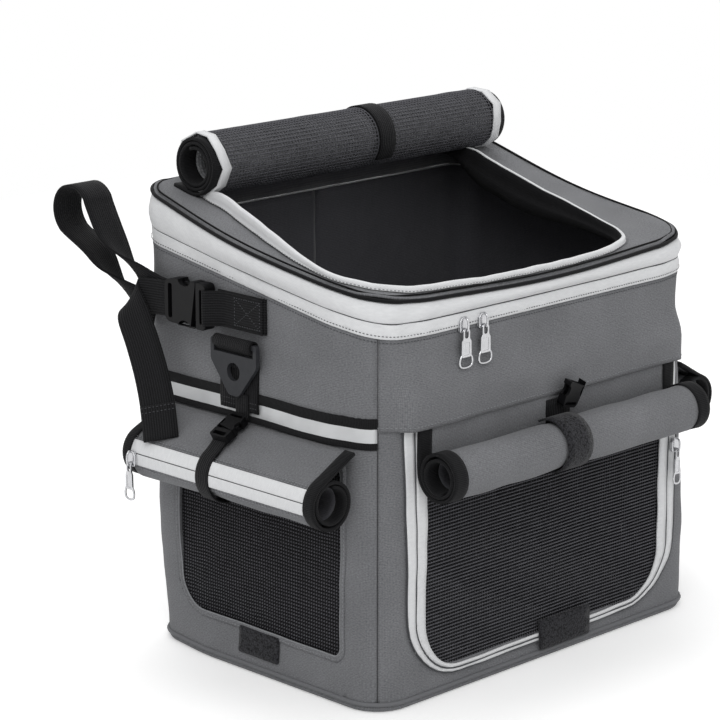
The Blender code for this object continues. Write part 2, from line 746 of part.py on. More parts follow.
def front_layers():
    """Distances in front of the front face: flap middle and valance back."""
    flap = DOOR_TAPE_PROUD + SEAT_GAP + BINDING_THICKNESS / 2
    valance = flap + BINDING_THICKNESS / 2 + SEAT_GAP
    return flap, valance


def front_section(x=0.0):
    """Frame for profiles of the front roll: X forwards, Y up, Z along X."""
    return frame_at((x, -DEPTH / 2, 0), (0, -1, 0), (0, 0, 1))


def make_front_door():
    """Door net, its half of the zip tape, and the tape on the wall."""
    tape_place = front_face(DOOR_TAPE_PROUD - DOOR_TAPE_THICKNESS)
    outer = doorway_outline(DOOR_CLEARANCE, DOOR_TOP)
    tape = prism("front_door_tape", outer, DOOR_TAPE_THICKNESS, PALE_TAPE, tape_place)
    inner = doorway_outline(DOOR_CLEARANCE + DOOR_TAPE_WIDTH, DOOR_TOP + CUT_OVERRUN)
    cut = prism("door_tape_cut", inner, CUT_OVERRUN, None, front_face(-CUT_OVERRUN / 2))
    combine(tape, cut, "DIFFERENCE")

    wall_tape = prism("front_body_tape", doorway_outline(-BODY_TAPE_WIDTH, VALANCE_BOTTOM),
                      BODY_TAPE_THICKNESS, PALE_TAPE, front_face(SEAT_GAP))
    outline = doorway_outline(0, VALANCE_BOTTOM + CUT_OVERRUN)
    cut = prism("body_tape_cut", outline, CUT_OVERRUN, None, front_face(-CUT_OVERRUN / 2))
    combine(wall_tape, cut, "DIFFERENCE")

    back = DOOR_TAPE_PROUD - DOOR_TAPE_THICKNESS - SEAT_GAP - NET_THICKNESS / 2
    inset = DOOR_CLEARANCE + DOOR_NET_INSET
    half = DOOR_HALF_WIDTH - inset
    net("front_door_net", (-half, DOOR_BOTTOM + inset), (half, DOOR_TOP),
        (DOOR_GAPS_X, DOOR_GAPS_Z), front_face(back), doorway_outline(inset, DOOR_TOP))


def make_front_roll():
    """Valance, the cover rolled up below it and the strap round the roll."""
    flap, valance = front_layers()
    low = (-VALANCE_HALF_WIDTH, VALANCE_BOTTOM, 0)
    high = (VALANCE_HALF_WIDTH, SEAM_HEIGHT - SEAT_GAP, VALANCE_THICKNESS)
    block("front_valance", low, high, GREY_FABRIC, front_face(valance))

    centre = (flap + FRONT_ROLL_RADIUS, FRONT_ROLL_HEIGHT)
    steps = round(FRONT_ROLL_TURNS * ROLL_STEPS)
    curl = arc_points(centre, FRONT_ROLL_RADIUS, 180, 360 * FRONT_ROLL_TURNS, steps, ROLL_PITCH)
    path = [Vector((flap, SEAM_HEIGHT - SEAT_GAP))] + curl
    rolled_cover("front_roll", "front_roll_binding", path, FRONT_ROLL_HALF_LENGTH, BINDING_WIDTH,
                 front_section(), (GREY_FABRIC, BLACK_WEBBING))

    lift = BINDING_THICKNESS / 2 + SEAT_GAP + STRAP_THICKNESS / 2
    round_roll = arc_points(centre, FRONT_ROLL_RADIUS + lift, FRONT_STRAP_FIRST_ANGLE,
                            -FRONT_STRAP_SWEEP_ANGLE, ROLL_STEPS)
    top = Vector((flap + lift, VALANCE_BOTTOM - SEAT_GAP))
    bend = Vector((flap + lift, FRONT_ROLL_HEIGHT + FRONT_ROLL_RADIUS + lift))
    bent_strap("front_roll_strap", [top, bend] + round_roll, FRONT_STRAP_WIDTH,
               front_section(FRONT_STRAP_X), BLACK_WEBBING)


def side_section(side, y=0.0):
    """Frame for profiles of a side roll: X outwards, Y up, Z along Y."""
    return frame_at((side * WIDTH / 2, y, 0), (side, 0, 0), (0, 0, 1))


def side_roll_profile():
    """Centre, first angle and flap direction of the roll on a side."""
    flap_top = BAND_BOTTOM - SEAT_GAP - BINDING_THICKNESS / 2
    start = Vector((SIDE_FLAP_REACH, flap_top))
    centre = Vector((SIDE_ROLL_REACH, SIDE_ROLL_HEIGHT))
    towards = centre - start
    flap_angle = math.atan2(towards.y, towards.x) + math.asin(SIDE_ROLL_RADIUS / towards.length)
    return start, centre, flap_angle


def make_side_roll(side, label):
    """Cover rolled up under the band, its strap and its small clip."""
    start, centre, flap_angle = side_roll_profile()
    first = math.degrees(flap_angle) + 90
    steps = round(SIDE_ROLL_TURNS * ROLL_STEPS)
    curl = arc_points(centre, SIDE_ROLL_RADIUS, first, -360 * SIDE_ROLL_TURNS, steps, ROLL_PITCH)
    rolled_cover(label + "_roll", label + "_roll_binding", [start] + curl, SIDE_ROLL_HALF_LENGTH,
                 BINDING_WIDTH, side_section(side), (GREY_FABRIC, BLACK_WEBBING))

    lift = BINDING_THICKNESS / 2 + SEAT_GAP + STRAP_THICKNESS / 2
    down = Vector((math.cos(flap_angle), math.sin(flap_angle)))
    outwards = Vector((-down.y, down.x))
    strap_start = start + down * SIDE_STRAP_START + outwards * lift
    round_roll = arc_points(centre, SIDE_ROLL_RADIUS + lift, first, -SIDE_STRAP_SWEEP_ANGLE, ROLL_STEPS)
    bent_strap(label + "_roll_strap", [strap_start] + round_roll, SIDE_STRAP_WIDTH,
               side_section(side, SIDE_STRAP_Y), BLACK_WEBBING)

    rise = lift + STRAP_THICKNESS / 2 + SEAT_GAP
    mouth = start + down * (SIDE_CLIP_START + COVER_CLIP.female) + outwards * rise
    section = side_section(side, SIDE_STRAP_Y)
    origin = section @ Vector((mouth.x, mouth.y, 0))
    upwards = section.to_3x3() @ Vector((-down.x, -down.y, 0))
    out = section.to_3x3() @ Vector((outwards.x, outwards.y, 0))
    place = frame_at(origin, upwards, out.cross(upwards))
    buckle_female(label + "_clip_female", COVER_CLIP, place)
    buckle_male(label + "_clip_male", COVER_CLIP, place)


def make_top_roll():
    """Mesh cover rolled up behind the opening, with its tie."""
    back_edge = OPENING_BACK + RIM_WIDTH
    hinge_y = back_edge + SEAT_GAP
    lift = LID_THICKNESS + SEAT_GAP + BINDING_THICKNESS / 2
    place = frame_at((0, 0, PIPING_LINE(0)), (0, math.cos(LID_ANGLE), math.sin(LID_ANGLE)),
                     (0, -math.sin(LID_ANGLE), math.cos(LID_ANGLE)))
    along = TOP_ROLL_Y / math.cos(LID_ANGLE)
    centre = (along, lift + TOP_ROLL_RADIUS)
    steps = round(TOP_ROLL_TURNS * ROLL_STEPS)
    curl = arc_points(centre, TOP_ROLL_RADIUS, 270, 360 * TOP_ROLL_TURNS, steps, ROLL_PITCH)
    path = [Vector((hinge_y / math.cos(LID_ANGLE) - RIM_WIDTH, lift))] + curl
    rolled_cover("top_roll", "top_roll_binding", path, TOP_ROLL_HALF_LENGTH, TOP_BINDING_WIDTH,
                 place, (BLACK_MESH, PALE_TAPE))
    tie_radius = TOP_ROLL_RADIUS + BINDING_THICKNESS / 2 + SEAT_GAP + STRAP_THICKNESS / 2
    tie = arc_points(centre, tie_radius, 90 + TOP_TIE_SWEEP_ANGLE / 2,
                     -TOP_TIE_SWEEP_ANGLE, ROLL_STEPS)
    tie_place = place @ Matrix.Translation((0, 0, TOP_TIE_X))
    bent_strap("top_roll_tie", tie, TOP_TIE_WIDTH, tie_place, BLACK_WEBBING)


def buckle_female(name, size, place):
    """Socket half: mouth at the origin, body along X, back face at Z = 0."""
    half = size.width / 2
    corner = size.wall
    outline = fillet([(0, -half), (size.female, -half), (size.female, half), (0, half)],
                     [corner, corner * 2, corner * 2, corner], SMALL_FILLET_STEPS)
    body = prism(name, outline, size.thickness, BLACK_PLASTIC, place)
    depth = size.prong + PRONG_CLEARANCE
    hollow = block(name + "_hollow", (-CUT_OVERRUN, -half + 2 * size.wall, size.wall),
                   (depth, half - 2 * size.wall, size.thickness - size.wall), None, place)
    combine(body, hollow, "DIFFERENCE")
    middle = depth / 2
    windows = block(name + "_windows", (middle - size.window / 2, -half - CUT_OVERRUN, size.wall),
                    (middle + size.window / 2, half + CUT_OVERRUN, size.thickness - size.wall), None, place)
    combine(body, windows, "DIFFERENCE")
    return body


def buckle_male(name, size, place):
    """Plug half: a slotted bar outside the mouth and three prongs inside."""
    half = size.width / 2
    inner = half - 2 * size.wall - PRONG_CLEARANCE
    edge, gap, tongue = [inner * share for share in TONGUE_SHARES]
    root = size.prong * TONGUE_SHARES[1]
    profile = [(-SEAT_GAP, inner), (size.prong, inner), (size.prong, edge), (root, edge),
               (root, gap), (size.prong - size.wall, tongue)]
    lower = [(x, -y) for x, y in reversed(profile)]
    root_end = -size.bar / 2
    lift = size.wall + PRONG_CLEARANCE
    raised = place @ Matrix.Translation((0, 0, lift))
    prongs = profile + lower + [(root_end, -inner), (root_end, inner)]
    body = block(name, (-size.bar, -half, 0), (-SEAT_GAP, half, size.thickness), BLACK_PLASTIC, place)
    guide = prism(name + "_prongs", prongs, size.thickness - 2 * lift, None, raised)
    combine(body, guide, "UNION")
    slot = block(name + "_slot", (-size.bar + size.wall, -inner, -CUT_OVERRUN),
                 (-size.bar / 2, inner, CUT_OVERRUN), None, place)
    return combine(body, slot, "DIFFERENCE")


def make_front_clip():
    """Open clip half that stands on the front strap, mouth upwards."""
    valance = front_layers()[1] + VALANCE_THICKNESS + SEAT_GAP
    top = (FRONT_CLIP_X, -DEPTH / 2 - valance, FRONT_CLIP_BOTTOM + FRONT_CLIP.female)
    buckle_female("front_clip", FRONT_CLIP, frame_at(top, (0, 0, -1), (1, 0, 0)))


def make_ring(side, label):
    """D-ring on its bar, and the webbing patch that loops round the bar."""
    loop_middle = RING_BAR / math.sqrt(2) + RING_PIVOT_CLEARANCE + RING_WEB_THICKNESS / 2
    patch = SEAT_GAP + RING_WEB_THICKNESS / 2
    reach = 2 * SEAT_GAP + RING_WEB_THICKNESS + loop_middle + RING_WEB_THICKNESS / 2

    top = RING_BAR / 2
    corners = [(-RING_HALF_WIDTH, top), (RING_HALF_WIDTH, top), (RING_HALF_WIDTH, -RING_SHOULDER),
               (RING_APEX_HALF_WIDTH, -RING_DROP), (-RING_APEX_HALF_WIDTH, -RING_DROP),
               (-RING_HALF_WIDTH, -RING_SHOULDER)]
    radii = [RING_BAR / 2, RING_BAR / 2] + [RING_CORNER] * 4
    place = frame_at((side * (WIDTH / 2 + reach), RING_Y, RING_HEIGHT), (0, 1, 0), (0, 0, 1))
    ring = prism(label + "_d_ring", fillet(corners, radii), RING_THICKNESS, GREY_PLASTIC, place,
                 -RING_THICKNESS / 2)
    half = RING_WEB_WIDTH / 2 + RING_SLOT_CLEARANCE
    slot = block(label + "_ring_slot", (-half, -top - RING_SLOT_HEIGHT, -CUT_OVERRUN),
                 (half, -top, CUT_OVERRUN), None, place)
    combine(ring, slot, "DIFFERENCE")
    hole = arc_points((0, -RING_HOLE_DROP), RING_HOLE_RADIUS, 0, 360, HOLE_STEPS)[1:]
    cut = prism(label + "_ring_hole", hole, CUT_OVERRUN, None, place, -CUT_OVERRUN / 2)
    combine(ring, cut, "DIFFERENCE")

    loop = arc_points((reach, RING_HEIGHT), loop_middle, 180, -RING_LOOP_SWEEP_ANGLE, ROLL_STEPS)
    foot = Vector((patch, RING_WEB_BOTTOM))
    neck = Vector((patch, RING_HEIGHT - loop_middle - RING_WEB_THICKNESS))
    bent_strap(label + "_ring_webbing", [foot, neck] + loop, RING_WEB_WIDTH,
               side_section(side, RING_Y), BLACK_WEBBING, RING_WEB_THICKNESS)


def smooth(points, steps):
    """Points along a smooth curve through the given ones."""
    ends = [2 * points[0] - points[1], *points, 2 * points[-1] - points[-2]]
    curve = []
    for a, b, c, d in zip(ends, ends[1:], ends[2:], ends[3:]):
        for step in range(steps):
            t = step / steps
            curve.append(0.5 * (2 * b + (c - a) * t + (2 * a - 5 * b + 4 * c - d) * t ** 2
                                + (3 * b - a - 3 * c + d) * t ** 3))
    curve.append(points[-1])
    return curve


# Routes of a handlebar strap, by hand: up from the buckle to the loop, down
# from the loop to the wall, and its folded tail from the buckle. Each point
# is a reach from the side, a place behind the buckle's mouth and a rise
# above it, with the way that the width points there.
STRAP_UP = (
    (7.1 * MM, 33 * MM, 0),
    (7.6 * MM, 44 * MM, 2 * MM),
    (11 * MM, 55 * MM, 10 * MM),
    (16.5 * MM, 67 * MM, 23 * MM),
    (19.5 * MM, 79 * MM, 39 * MM),
)
STRAP_UP_WIDTH_SHARES = ((0, 0, 1), (0, -0.1, 1), (0.35, -0.2, 0.9), (0.8, -0.2, 0.5), (1, 0, 0.1))
STRAP_RETURN = (
    (19.5 * MM, 95 * MM, 27 * MM),
    (17 * MM, 81 * MM, 9 * MM),
    (9 * MM, 66 * MM, -6 * MM),
    (3.4 * MM, 54 * MM, -12 * MM),
)
STRAP_RETURN_WIDTH_SHARES = ((1, 0, 0), (0.8, 0, 0.5), (0.35, -0.2, 0.9), (0, -0.3, 1))
STRAP_TAIL = (
    (8 * MM, 33 * MM, 0),
    (13 * MM, 46 * MM, 0),
    (18.5 * MM, 57 * MM, -1 * MM),
    (21 * MM, 54 * MM, -12 * MM),
    (22 * MM, 44 * MM, -30 * MM),
    (24.5 * MM, 33 * MM, -52 * MM),
    (28 * MM, 23 * MM, -72 * MM),
    (34 * MM, 13 * MM, -92 * MM),
)
STRAP_TAIL_WIDTH_SHARES = ((0, 0, 1), (0, 0, 1), (0, -0.5, 0.87), (-0.4, -0.8, 0.4), (-0.5, -0.8, 0.3),
                           (-0.55, -0.78, 0.25), (-0.6, -0.75, 0.2), (-0.6, -0.75, 0.2))


def webbing_ribbon(name, side, route, across):
    """Strap webbing along a route of reach, place and height at a side."""
    middle = smooth(route, RIBBON_STEPS)
    widths = [w.normalized() * WEB_WIDTH / 2 for w in smooth(across, RIBBON_STEPS)]

    def corner(i, way):
        point = middle[i] + widths[i] * way
        return Vector((side * (WIDTH / 2 + point.x), point.y, point.z))

    return cell_sheet(name, range(len(middle)), (-1, 1), lambda i, j: True, corner, WEB_THICKNESS,
                      BLACK_WEBBING)


def make_handlebar_strap(side, label):
    """Sewn anchor, buckle halves and the strap that loops the handlebar."""
    low = (-ANCHOR_FRONT, BUCKLE_HEIGHT - WEB_WIDTH / 2, 0)
    high = (BUCKLE_MOUTH_Y - STRAP_BUCKLE.bar / 2, BUCKLE_HEIGHT + WEB_WIDTH / 2, WEB_THICKNESS)
    inner = SEAT_GAP if side > 0 else SEAT_GAP + WEB_THICKNESS
    block(label + "_strap_anchor", low, high, BLACK_WEBBING, side_face(side, inner))

    mouth = (side * (WIDTH / 2 + BUCKLE_LIFT), BUCKLE_MOUTH_Y, BUCKLE_HEIGHT)
    place = frame_at(mouth, (0, 1, 0), (0, 0, side))
    socket = buckle_female(label + "_buckle_female", STRAP_BUCKLE, place)
    buckle_male(label + "_buckle_male", STRAP_BUCKLE, place)

    mouth_offset = Vector((0, BUCKLE_MOUTH_Y, BUCKLE_HEIGHT))
    route = [mouth_offset + Vector(p) for p in STRAP_UP]
    across = [Vector(w) for w in STRAP_UP_WIDTH_SHARES]
    for angle in range(LOOP_FIRST_ANGLE, LOOP_LAST_ANGLE - 1, -LOOP_STEP_ANGLE):
        turned = math.radians(angle)
        route.append(Vector((LOOP_REACH, BAR_Y + LOOP_RADIUS * math.cos(turned),
                             BAR_HEIGHT + LOOP_RADIUS * math.sin(turned))))
        across.append(Vector((1, 0, 0)))
    route += [mouth_offset + Vector(p) for p in STRAP_RETURN]
    across += [Vector(w) for w in STRAP_RETURN_WIDTH_SHARES]
    strap = webbing_ribbon(label + "_handlebar_strap", side, route, across)
    route = [mouth_offset + Vector(p) for p in STRAP_TAIL]
    across = [Vector(w) for w in STRAP_TAIL_WIDTH_SHARES]
    tail = webbing_ribbon(label + "_strap_tail", side, route, across)
    carry(socket, combine(strap, tail, "UNION"))


def zip_slider(slider_name, puller_name, place):
    """Slider with a bail, and its puller hanging from the bail along -Y."""
    half_w = SLIDER_WIDTH / 2
    half_l = SLIDER_LENGTH / 2
    low = (-half_w, -half_l, SEAT_GAP)
    top = SEAT_GAP + SLIDER_THICKNESS
    body = block(slider_name, low, (half_w, half_l, top), BRIGHT_METAL, place)
    bevel(body, SLIDER_BEVEL, 1)
    roof = top + BAIL_HEIGHT
    under = roof - BAIL_ROOF
    outer = BAIL_LENGTH / 2
    inner = outer - BAIL_LEG
    sunk = SEAT_GAP + SLIDER_THICKNESS / 2
    arch = [(-outer, sunk), (-inner, sunk), (-inner, under), (inner, under), (inner, sunk),
            (outer, sunk), (outer, roof), (-outer, roof)]
    standing = place @ frame_at((-BAIL_WIDTH / 2, 0, 0), (0, 1, 0), (0, 0, 1))
    combine(body, prism(slider_name + "_bail", arch, BAIL_WIDTH, None, standing), "UNION")

    hung = place @ Matrix.Translation((0, -inner + BAIL_REST, (top + under) / 2))
    half = PULLER_WIDTH / 2
    up = PULLER_BAR / 2
    outline = fillet([(-half, up), (-half, up - PULLER_LENGTH), (half, up - PULLER_LENGTH), (half, up)],
                     [PULLER_BAR / 2, PULLER_CORNER, PULLER_CORNER, PULLER_BAR / 2], SMALL_FILLET_STEPS)
    puller = prism(puller_name, outline, PULLER_THICKNESS, BRIGHT_METAL, hung, -PULLER_THICKNESS / 2)
    eye = block(puller_name + "_eye", (-PULLER_EYE_WIDTH / 2, -up - PULLER_EYE_LENGTH, -CUT_OVERRUN),
                (PULLER_EYE_WIDTH / 2, -up, CUT_OVERRUN), None, hung)
    combine(puller, eye, "DIFFERENCE")
    carry(body, puller)


def make_zip_sliders():
    face = -DEPTH / 2
    for label, x in (("left", TOP_SLIDER_LEFT_X), ("right", TOP_SLIDER_RIGHT_X)):
        place = frame_at((x, face, TOP_SLIDER_HEIGHT), (1, 0, 0), (0, 0, 1))
        zip_slider("top_slider_" + label, "top_puller_" + label, place)
    origin = (FRONT_SLIDER_X, face - SEAT_GAP - BODY_TAPE_THICKNESS, FRONT_SLIDER_HEIGHT)
    zip_slider("front_zip_slider", "front_zip_puller", frame_at(origin, (1, 0, 0), (0, 0, 1)))
    reach = SIDE_ROLL_REACH + SIDE_ROLL_RADIUS + SHEET_THICKNESS / 2
    for label, side in (("left", -1), ("right", 1)):
        origin = (side * (WIDTH / 2 + reach), POCKET_SLIDER_Y, SIDE_ROLL_HEIGHT)
        place = frame_at(origin, (0, side, 0), (0, 0, 1))
        zip_slider(label + "_pocket_slider", label + "_pocket_puller", place)


def add_pivots():
    """Empties on the two fabric hinges: back of the lid, top of the door."""
    pivot("lid_pivot", (0, DEPTH / 2 + SEAT_GAP, ZIP_BACK),
          ("lid_skirt", "lid_panel", "lid_piping", "opening_rim", "top_roll", "top_roll_binding",
           "top_roll_tie"))
    pivot("front_door_pivot", (0, -DEPTH / 2 - front_layers()[1], SEAM_HEIGHT),
          ("front_valance", "front_door_net", "front_door_tape", "front_roll", "front_roll_binding",
           "front_roll_strap", "front_clip"))


def build():
    clear_scene()
    make_base_panel()
    make_walls()
    make_collar()
    make_lining()
    make_cushion()
    make_bands()
    make_window_nets()
    make_zip_rings()
    make_lid()
    make_top_roll()
    make_front_door()
    make_front_roll()
    make_front_clip()
    for side, label in ((-1, "left"), (1, "right")):
        make_side_roll(side, label)
        make_ring(side, label)
        make_handlebar_strap(side, label)
    make_zip_sliders()
    add_pivots()


build()
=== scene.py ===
import math

import bmesh
import bpy
import numpy as np
from mathutils import Matrix, Vector, noise
from mathutils.geometry import delaunay_2d_cdt


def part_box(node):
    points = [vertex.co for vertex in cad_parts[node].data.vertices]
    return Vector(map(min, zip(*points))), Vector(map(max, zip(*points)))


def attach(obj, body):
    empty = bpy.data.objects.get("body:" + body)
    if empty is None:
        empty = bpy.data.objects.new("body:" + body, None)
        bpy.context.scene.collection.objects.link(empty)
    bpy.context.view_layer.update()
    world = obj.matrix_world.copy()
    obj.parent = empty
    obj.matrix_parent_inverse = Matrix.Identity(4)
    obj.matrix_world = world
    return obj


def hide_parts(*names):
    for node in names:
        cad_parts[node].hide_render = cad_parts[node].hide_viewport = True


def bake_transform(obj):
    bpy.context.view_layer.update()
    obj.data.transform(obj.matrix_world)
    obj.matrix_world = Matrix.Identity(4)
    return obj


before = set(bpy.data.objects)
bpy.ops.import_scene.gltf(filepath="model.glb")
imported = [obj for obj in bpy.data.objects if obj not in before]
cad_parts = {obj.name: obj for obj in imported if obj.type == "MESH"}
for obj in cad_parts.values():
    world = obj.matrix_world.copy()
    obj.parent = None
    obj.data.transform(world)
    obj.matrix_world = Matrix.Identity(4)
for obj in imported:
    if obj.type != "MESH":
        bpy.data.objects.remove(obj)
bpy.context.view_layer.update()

MM = 0.001

# Body of the basket, as the frame gives it
BASE_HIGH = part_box("base_panel")[1]
HALF_X = BASE_HIGH.x
HALF_Y = BASE_HIGH.y
BASE_TOP = BASE_HIGH.z
CORNER_RADIUS = 27 * MM
SEAT_GAP = 0.3 * MM
SEAM_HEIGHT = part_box("collar")[0].z - SEAT_GAP

# Thickness of the walls, and of what is sewn to them
WALL = 3 * MM
COLLAR = 1.2 * MM
TAPE = 1.2 * MM
HEM = 0.8 * MM
THIN_LINING = 0.6 * MM
PATCH = 1.2 * MM

# Heights at the front face and at the back face
TAPE_FRONT = 261 * MM
TAPE_BACK = 300 * MM
ZIP_FRONT = 270.5 * MM
ZIP_BACK = 310 * MM
PIPING_FRONT = 284 * MM
PIPING_BACK = 335 * MM

# Windows in the sides, doorway in the front, opening in the lid
WINDOW_FRONT = -85 * MM
WINDOW_REAR = 80 * MM
WINDOW_BOTTOM = 34 * MM
WINDOW_TOP = 172 * MM
WINDOW_CORNER = 8 * MM
WINDOW_REAR_CORNER = 24 * MM
DOOR_HALF = 134 * MM
DOOR_BOTTOM = 18 * MM
DOOR_TOP = 205.5 * MM
DOOR_CORNER = 44 * MM
DOOR_TOP_CORNER = 2 * MM
DOOR_CUT = 0.5 * MM
DOOR_LIP = 4 * MM
LID_THICKNESS = 3 * MM

# Camera, as the photograph's view
CAMERA_AZIMUTH = -44.95
CAMERA_ELEVATION = 14.35
CAMERA_DISTANCE = 2.0359
CAMERA_TARGET = (-0.0668, 0, 0.2111)
CAMERA_LENS = 142.85
CAMERA_SENSOR = 36


def slope(front, back):
    """Height along Y of a line with one height at each end of the basket."""
    return lambda y: front + (back - front) * (y + HALF_Y) / (2 * HALF_Y)


TAPE_LINE = slope(TAPE_FRONT, TAPE_BACK)
ZIP_LINE = slope(ZIP_FRONT, ZIP_BACK)
PIPING_LINE = slope(PIPING_FRONT, PIPING_BACK)
LID_ANGLE = math.atan2(PIPING_BACK - PIPING_FRONT, 2 * HALF_Y)


# Finishes

def srgb(code):
    """Linear colour of an sRGB hex value."""
    channels = [int(code[i:i + 2], 16) / 255 for i in (0, 2, 4)]
    return [c / 12.92 if c <= 0.04045 else ((c + 0.055) / 1.055) ** 2.4 for c in channels] + [1.0]


def set_inputs(tree, node, inputs):
    """Set each named or numbered input of a node, or link a socket to it."""
    for key, value in inputs.items():
        if isinstance(value, bpy.types.NodeSocket):
            tree.links.new(value, node.inputs[key])
        else:
            node.inputs[key].default_value = value


def add_node(tree, kind, inputs=None, **settings):
    """Add a node with its settings, and set or link its inputs."""
    node = tree.nodes.new(kind)
    for name, value in settings.items():
        setattr(node, name, value)
    set_inputs(tree, node, inputs or {})
    return node


def new_finish(name):
    """New material, its tree and its principled shader."""
    made = bpy.data.materials.new(name)
    made.use_nodes = True
    return made, made.node_tree, made.node_tree.nodes["Principled BSDF"]


def wave_scale(pitch):
    """Scale of a wave texture whose bands are a pitch apart, in metres."""
    return math.pi / 10 / pitch


# Shares of the weave and of slow changes in a cloth's tone, which starts
# below 0, and the share of the yarn in its relief
WEAVE_TONE_SHARE = 0.25
SLOW_TONE_SHARE = 0.3
TONE_START_SHARE = -0.25
YARN_RELIEF_SHARE = 0.6
SLOW_CHANGE = 45.5 * MM


def woven(name, dark, light, pitch, fleck, roughness, depth, sheen=0.1, tilt=0.0):
    """Woven cloth: flecked yarn, a plain weave and slow changes of shade.

    The pattern lies on the UV map, which is in metres along and across.
    """
    made, tree, shader = new_finish(name)
    uv = add_node(tree, "ShaderNodeTexCoord").outputs["UV"]
    turned = add_node(tree, "ShaderNodeMapping", {0: uv, 2: (0, 0, tilt)}).outputs[0]
    bands = {0: turned, "Scale": wave_scale(pitch)}
    warp = add_node(tree, "ShaderNodeTexWave", bands, bands_direction="X").outputs["Fac"]
    weft = add_node(tree, "ShaderNodeTexWave", bands, bands_direction="Y").outputs["Fac"]
    weave = add_node(tree, "ShaderNodeMath", {0: warp, 1: weft}, operation="MULTIPLY").outputs[0]
    flecks = add_node(tree, "ShaderNodeVectorMath", {0: uv, 1: (1 / fleck[0], 1 / fleck[1], 1)},
                      operation="MULTIPLY").outputs[0]
    yarn = add_node(tree, "ShaderNodeTexNoise", {
        0: flecks, "Scale": 1.0, "Detail": 3.0, "Roughness": 0.65}).outputs["Fac"]
    slow = add_node(tree, "ShaderNodeTexNoise",
                    {0: uv, "Scale": 1 / SLOW_CHANGE, "Detail": 2.0}).outputs["Fac"]
    tone = add_node(tree, "ShaderNodeMath", {0: weave, 1: WEAVE_TONE_SHARE, 2: TONE_START_SHARE},
                    operation="MULTIPLY_ADD").outputs[0]
    tone = add_node(tree, "ShaderNodeMath", {0: slow, 1: SLOW_TONE_SHARE, 2: tone},
                    operation="MULTIPLY_ADD").outputs[0]
    tone = add_node(tree, "ShaderNodeMath", {0: tone, 1: yarn}, operation="ADD").outputs[0]
    colour = add_node(tree, "ShaderNodeMix", {0: tone, 6: srgb(dark), 7: srgb(light)}, data_type="RGBA")
    relief = add_node(tree, "ShaderNodeMath", {0: yarn, 1: YARN_RELIEF_SHARE, 2: weave},
                      operation="MULTIPLY_ADD").outputs[0]
    normal = add_node(tree, "ShaderNodeBump", {"Height": relief, "Distance": depth, "Strength": 1.0})
    set_inputs(tree, shader, {
        "Base Color": colour.outputs[2], "Normal": normal.outputs[0], "Roughness": roughness,
        "Sheen Weight": sheen, "Specular IOR Level": 0.2})
    return made


# Size of the yarn's flecks in a tape, and shares of its picks in the relief
# and of its plain colour in the tone
TAPE_YARN = 1.11 * MM
PICK_RELIEF_SHARE = 0.35
PLAIN_TONE_SHARE = 0.3


def ribbed(name, dark, light, pitch, cross, roughness, depth, along=True):
    """Narrow woven tape with ribs along it, or across it, and fine picks."""
    made, tree, shader = new_finish(name)
    uv = add_node(tree, "ShaderNodeTexCoord").outputs["UV"]
    rib_way, pick_way = ("Y", "X") if along else ("X", "Y")
    rib = add_node(tree, "ShaderNodeTexWave", {0: uv, "Scale": wave_scale(pitch)},
                   bands_direction=rib_way).outputs["Fac"]
    pick = add_node(tree, "ShaderNodeTexWave", {0: uv, "Scale": wave_scale(cross)},
                    bands_direction=pick_way).outputs["Fac"]
    yarn = add_node(tree, "ShaderNodeTexNoise",
                    {0: uv, "Scale": 1 / TAPE_YARN, "Detail": 2.0}).outputs["Fac"]
    relief = add_node(tree, "ShaderNodeMath", {0: pick, 1: PICK_RELIEF_SHARE, 2: rib},
                      operation="MULTIPLY_ADD").outputs[0]
    shade = add_node(tree, "ShaderNodeMath", {0: yarn, 1: PLAIN_TONE_SHARE}, operation="ADD").outputs[0]
    tone = add_node(tree, "ShaderNodeMath", {0: relief, 1: shade}, operation="MULTIPLY").outputs[0]
    colour = add_node(tree, "ShaderNodeMix", {0: tone, 6: srgb(dark), 7: srgb(light)}, data_type="RGBA")
    normal = add_node(tree, "ShaderNodeBump", {"Height": relief, "Distance": depth, "Strength": 1.0})
    set_inputs(tree, shader, {
        "Base Color": colour.outputs[2], "Normal": normal.outputs[0], "Roughness": roughness,
        "Sheen Weight": 0.03, "Specular IOR Level": 0.12})
    return made


SCUFF_SIZE = 5.56 * MM
GRAIN_DEPTH = 0.05 * MM


def moulded(name, dark, light, roughness, grain):
    """Injection-moulded plastic with a fine eroded grain and faint scuffs."""
    made, tree, shader = new_finish(name)
    place = add_node(tree, "ShaderNodeTexCoord").outputs["Object"]
    fine = add_node(tree, "ShaderNodeTexNoise",
                    {0: place, "Scale": 1 / grain, "Detail": 2.0}).outputs["Fac"]
    scuff = add_node(tree, "ShaderNodeTexNoise", {
        0: place, "Scale": 1 / SCUFF_SIZE, "Detail": 4.0, "Roughness": 0.7}).outputs["Fac"]
    colour = add_node(tree, "ShaderNodeMix", {0: scuff, 6: srgb(dark), 7: srgb(light)}, data_type="RGBA")
    rough = add_node(tree, "ShaderNodeMapRange", {0: scuff, 3: roughness - 0.08, 4: roughness + 0.12})
    normal = add_node(tree, "ShaderNodeBump", {"Height": fine, "Distance": GRAIN_DEPTH, "Strength": 1.0})
    set_inputs(tree, shader, {
        "Base Color": colour.outputs[2], "Normal": normal.outputs[0], "Roughness": rough.outputs[0],
        "Specular IOR Level": 0.16})
    return made


MARK_WIDTH = 0.4 * MM
MARK_LENGTH = 3.33 * MM
MARK_DEPTH = 0.02 * MM


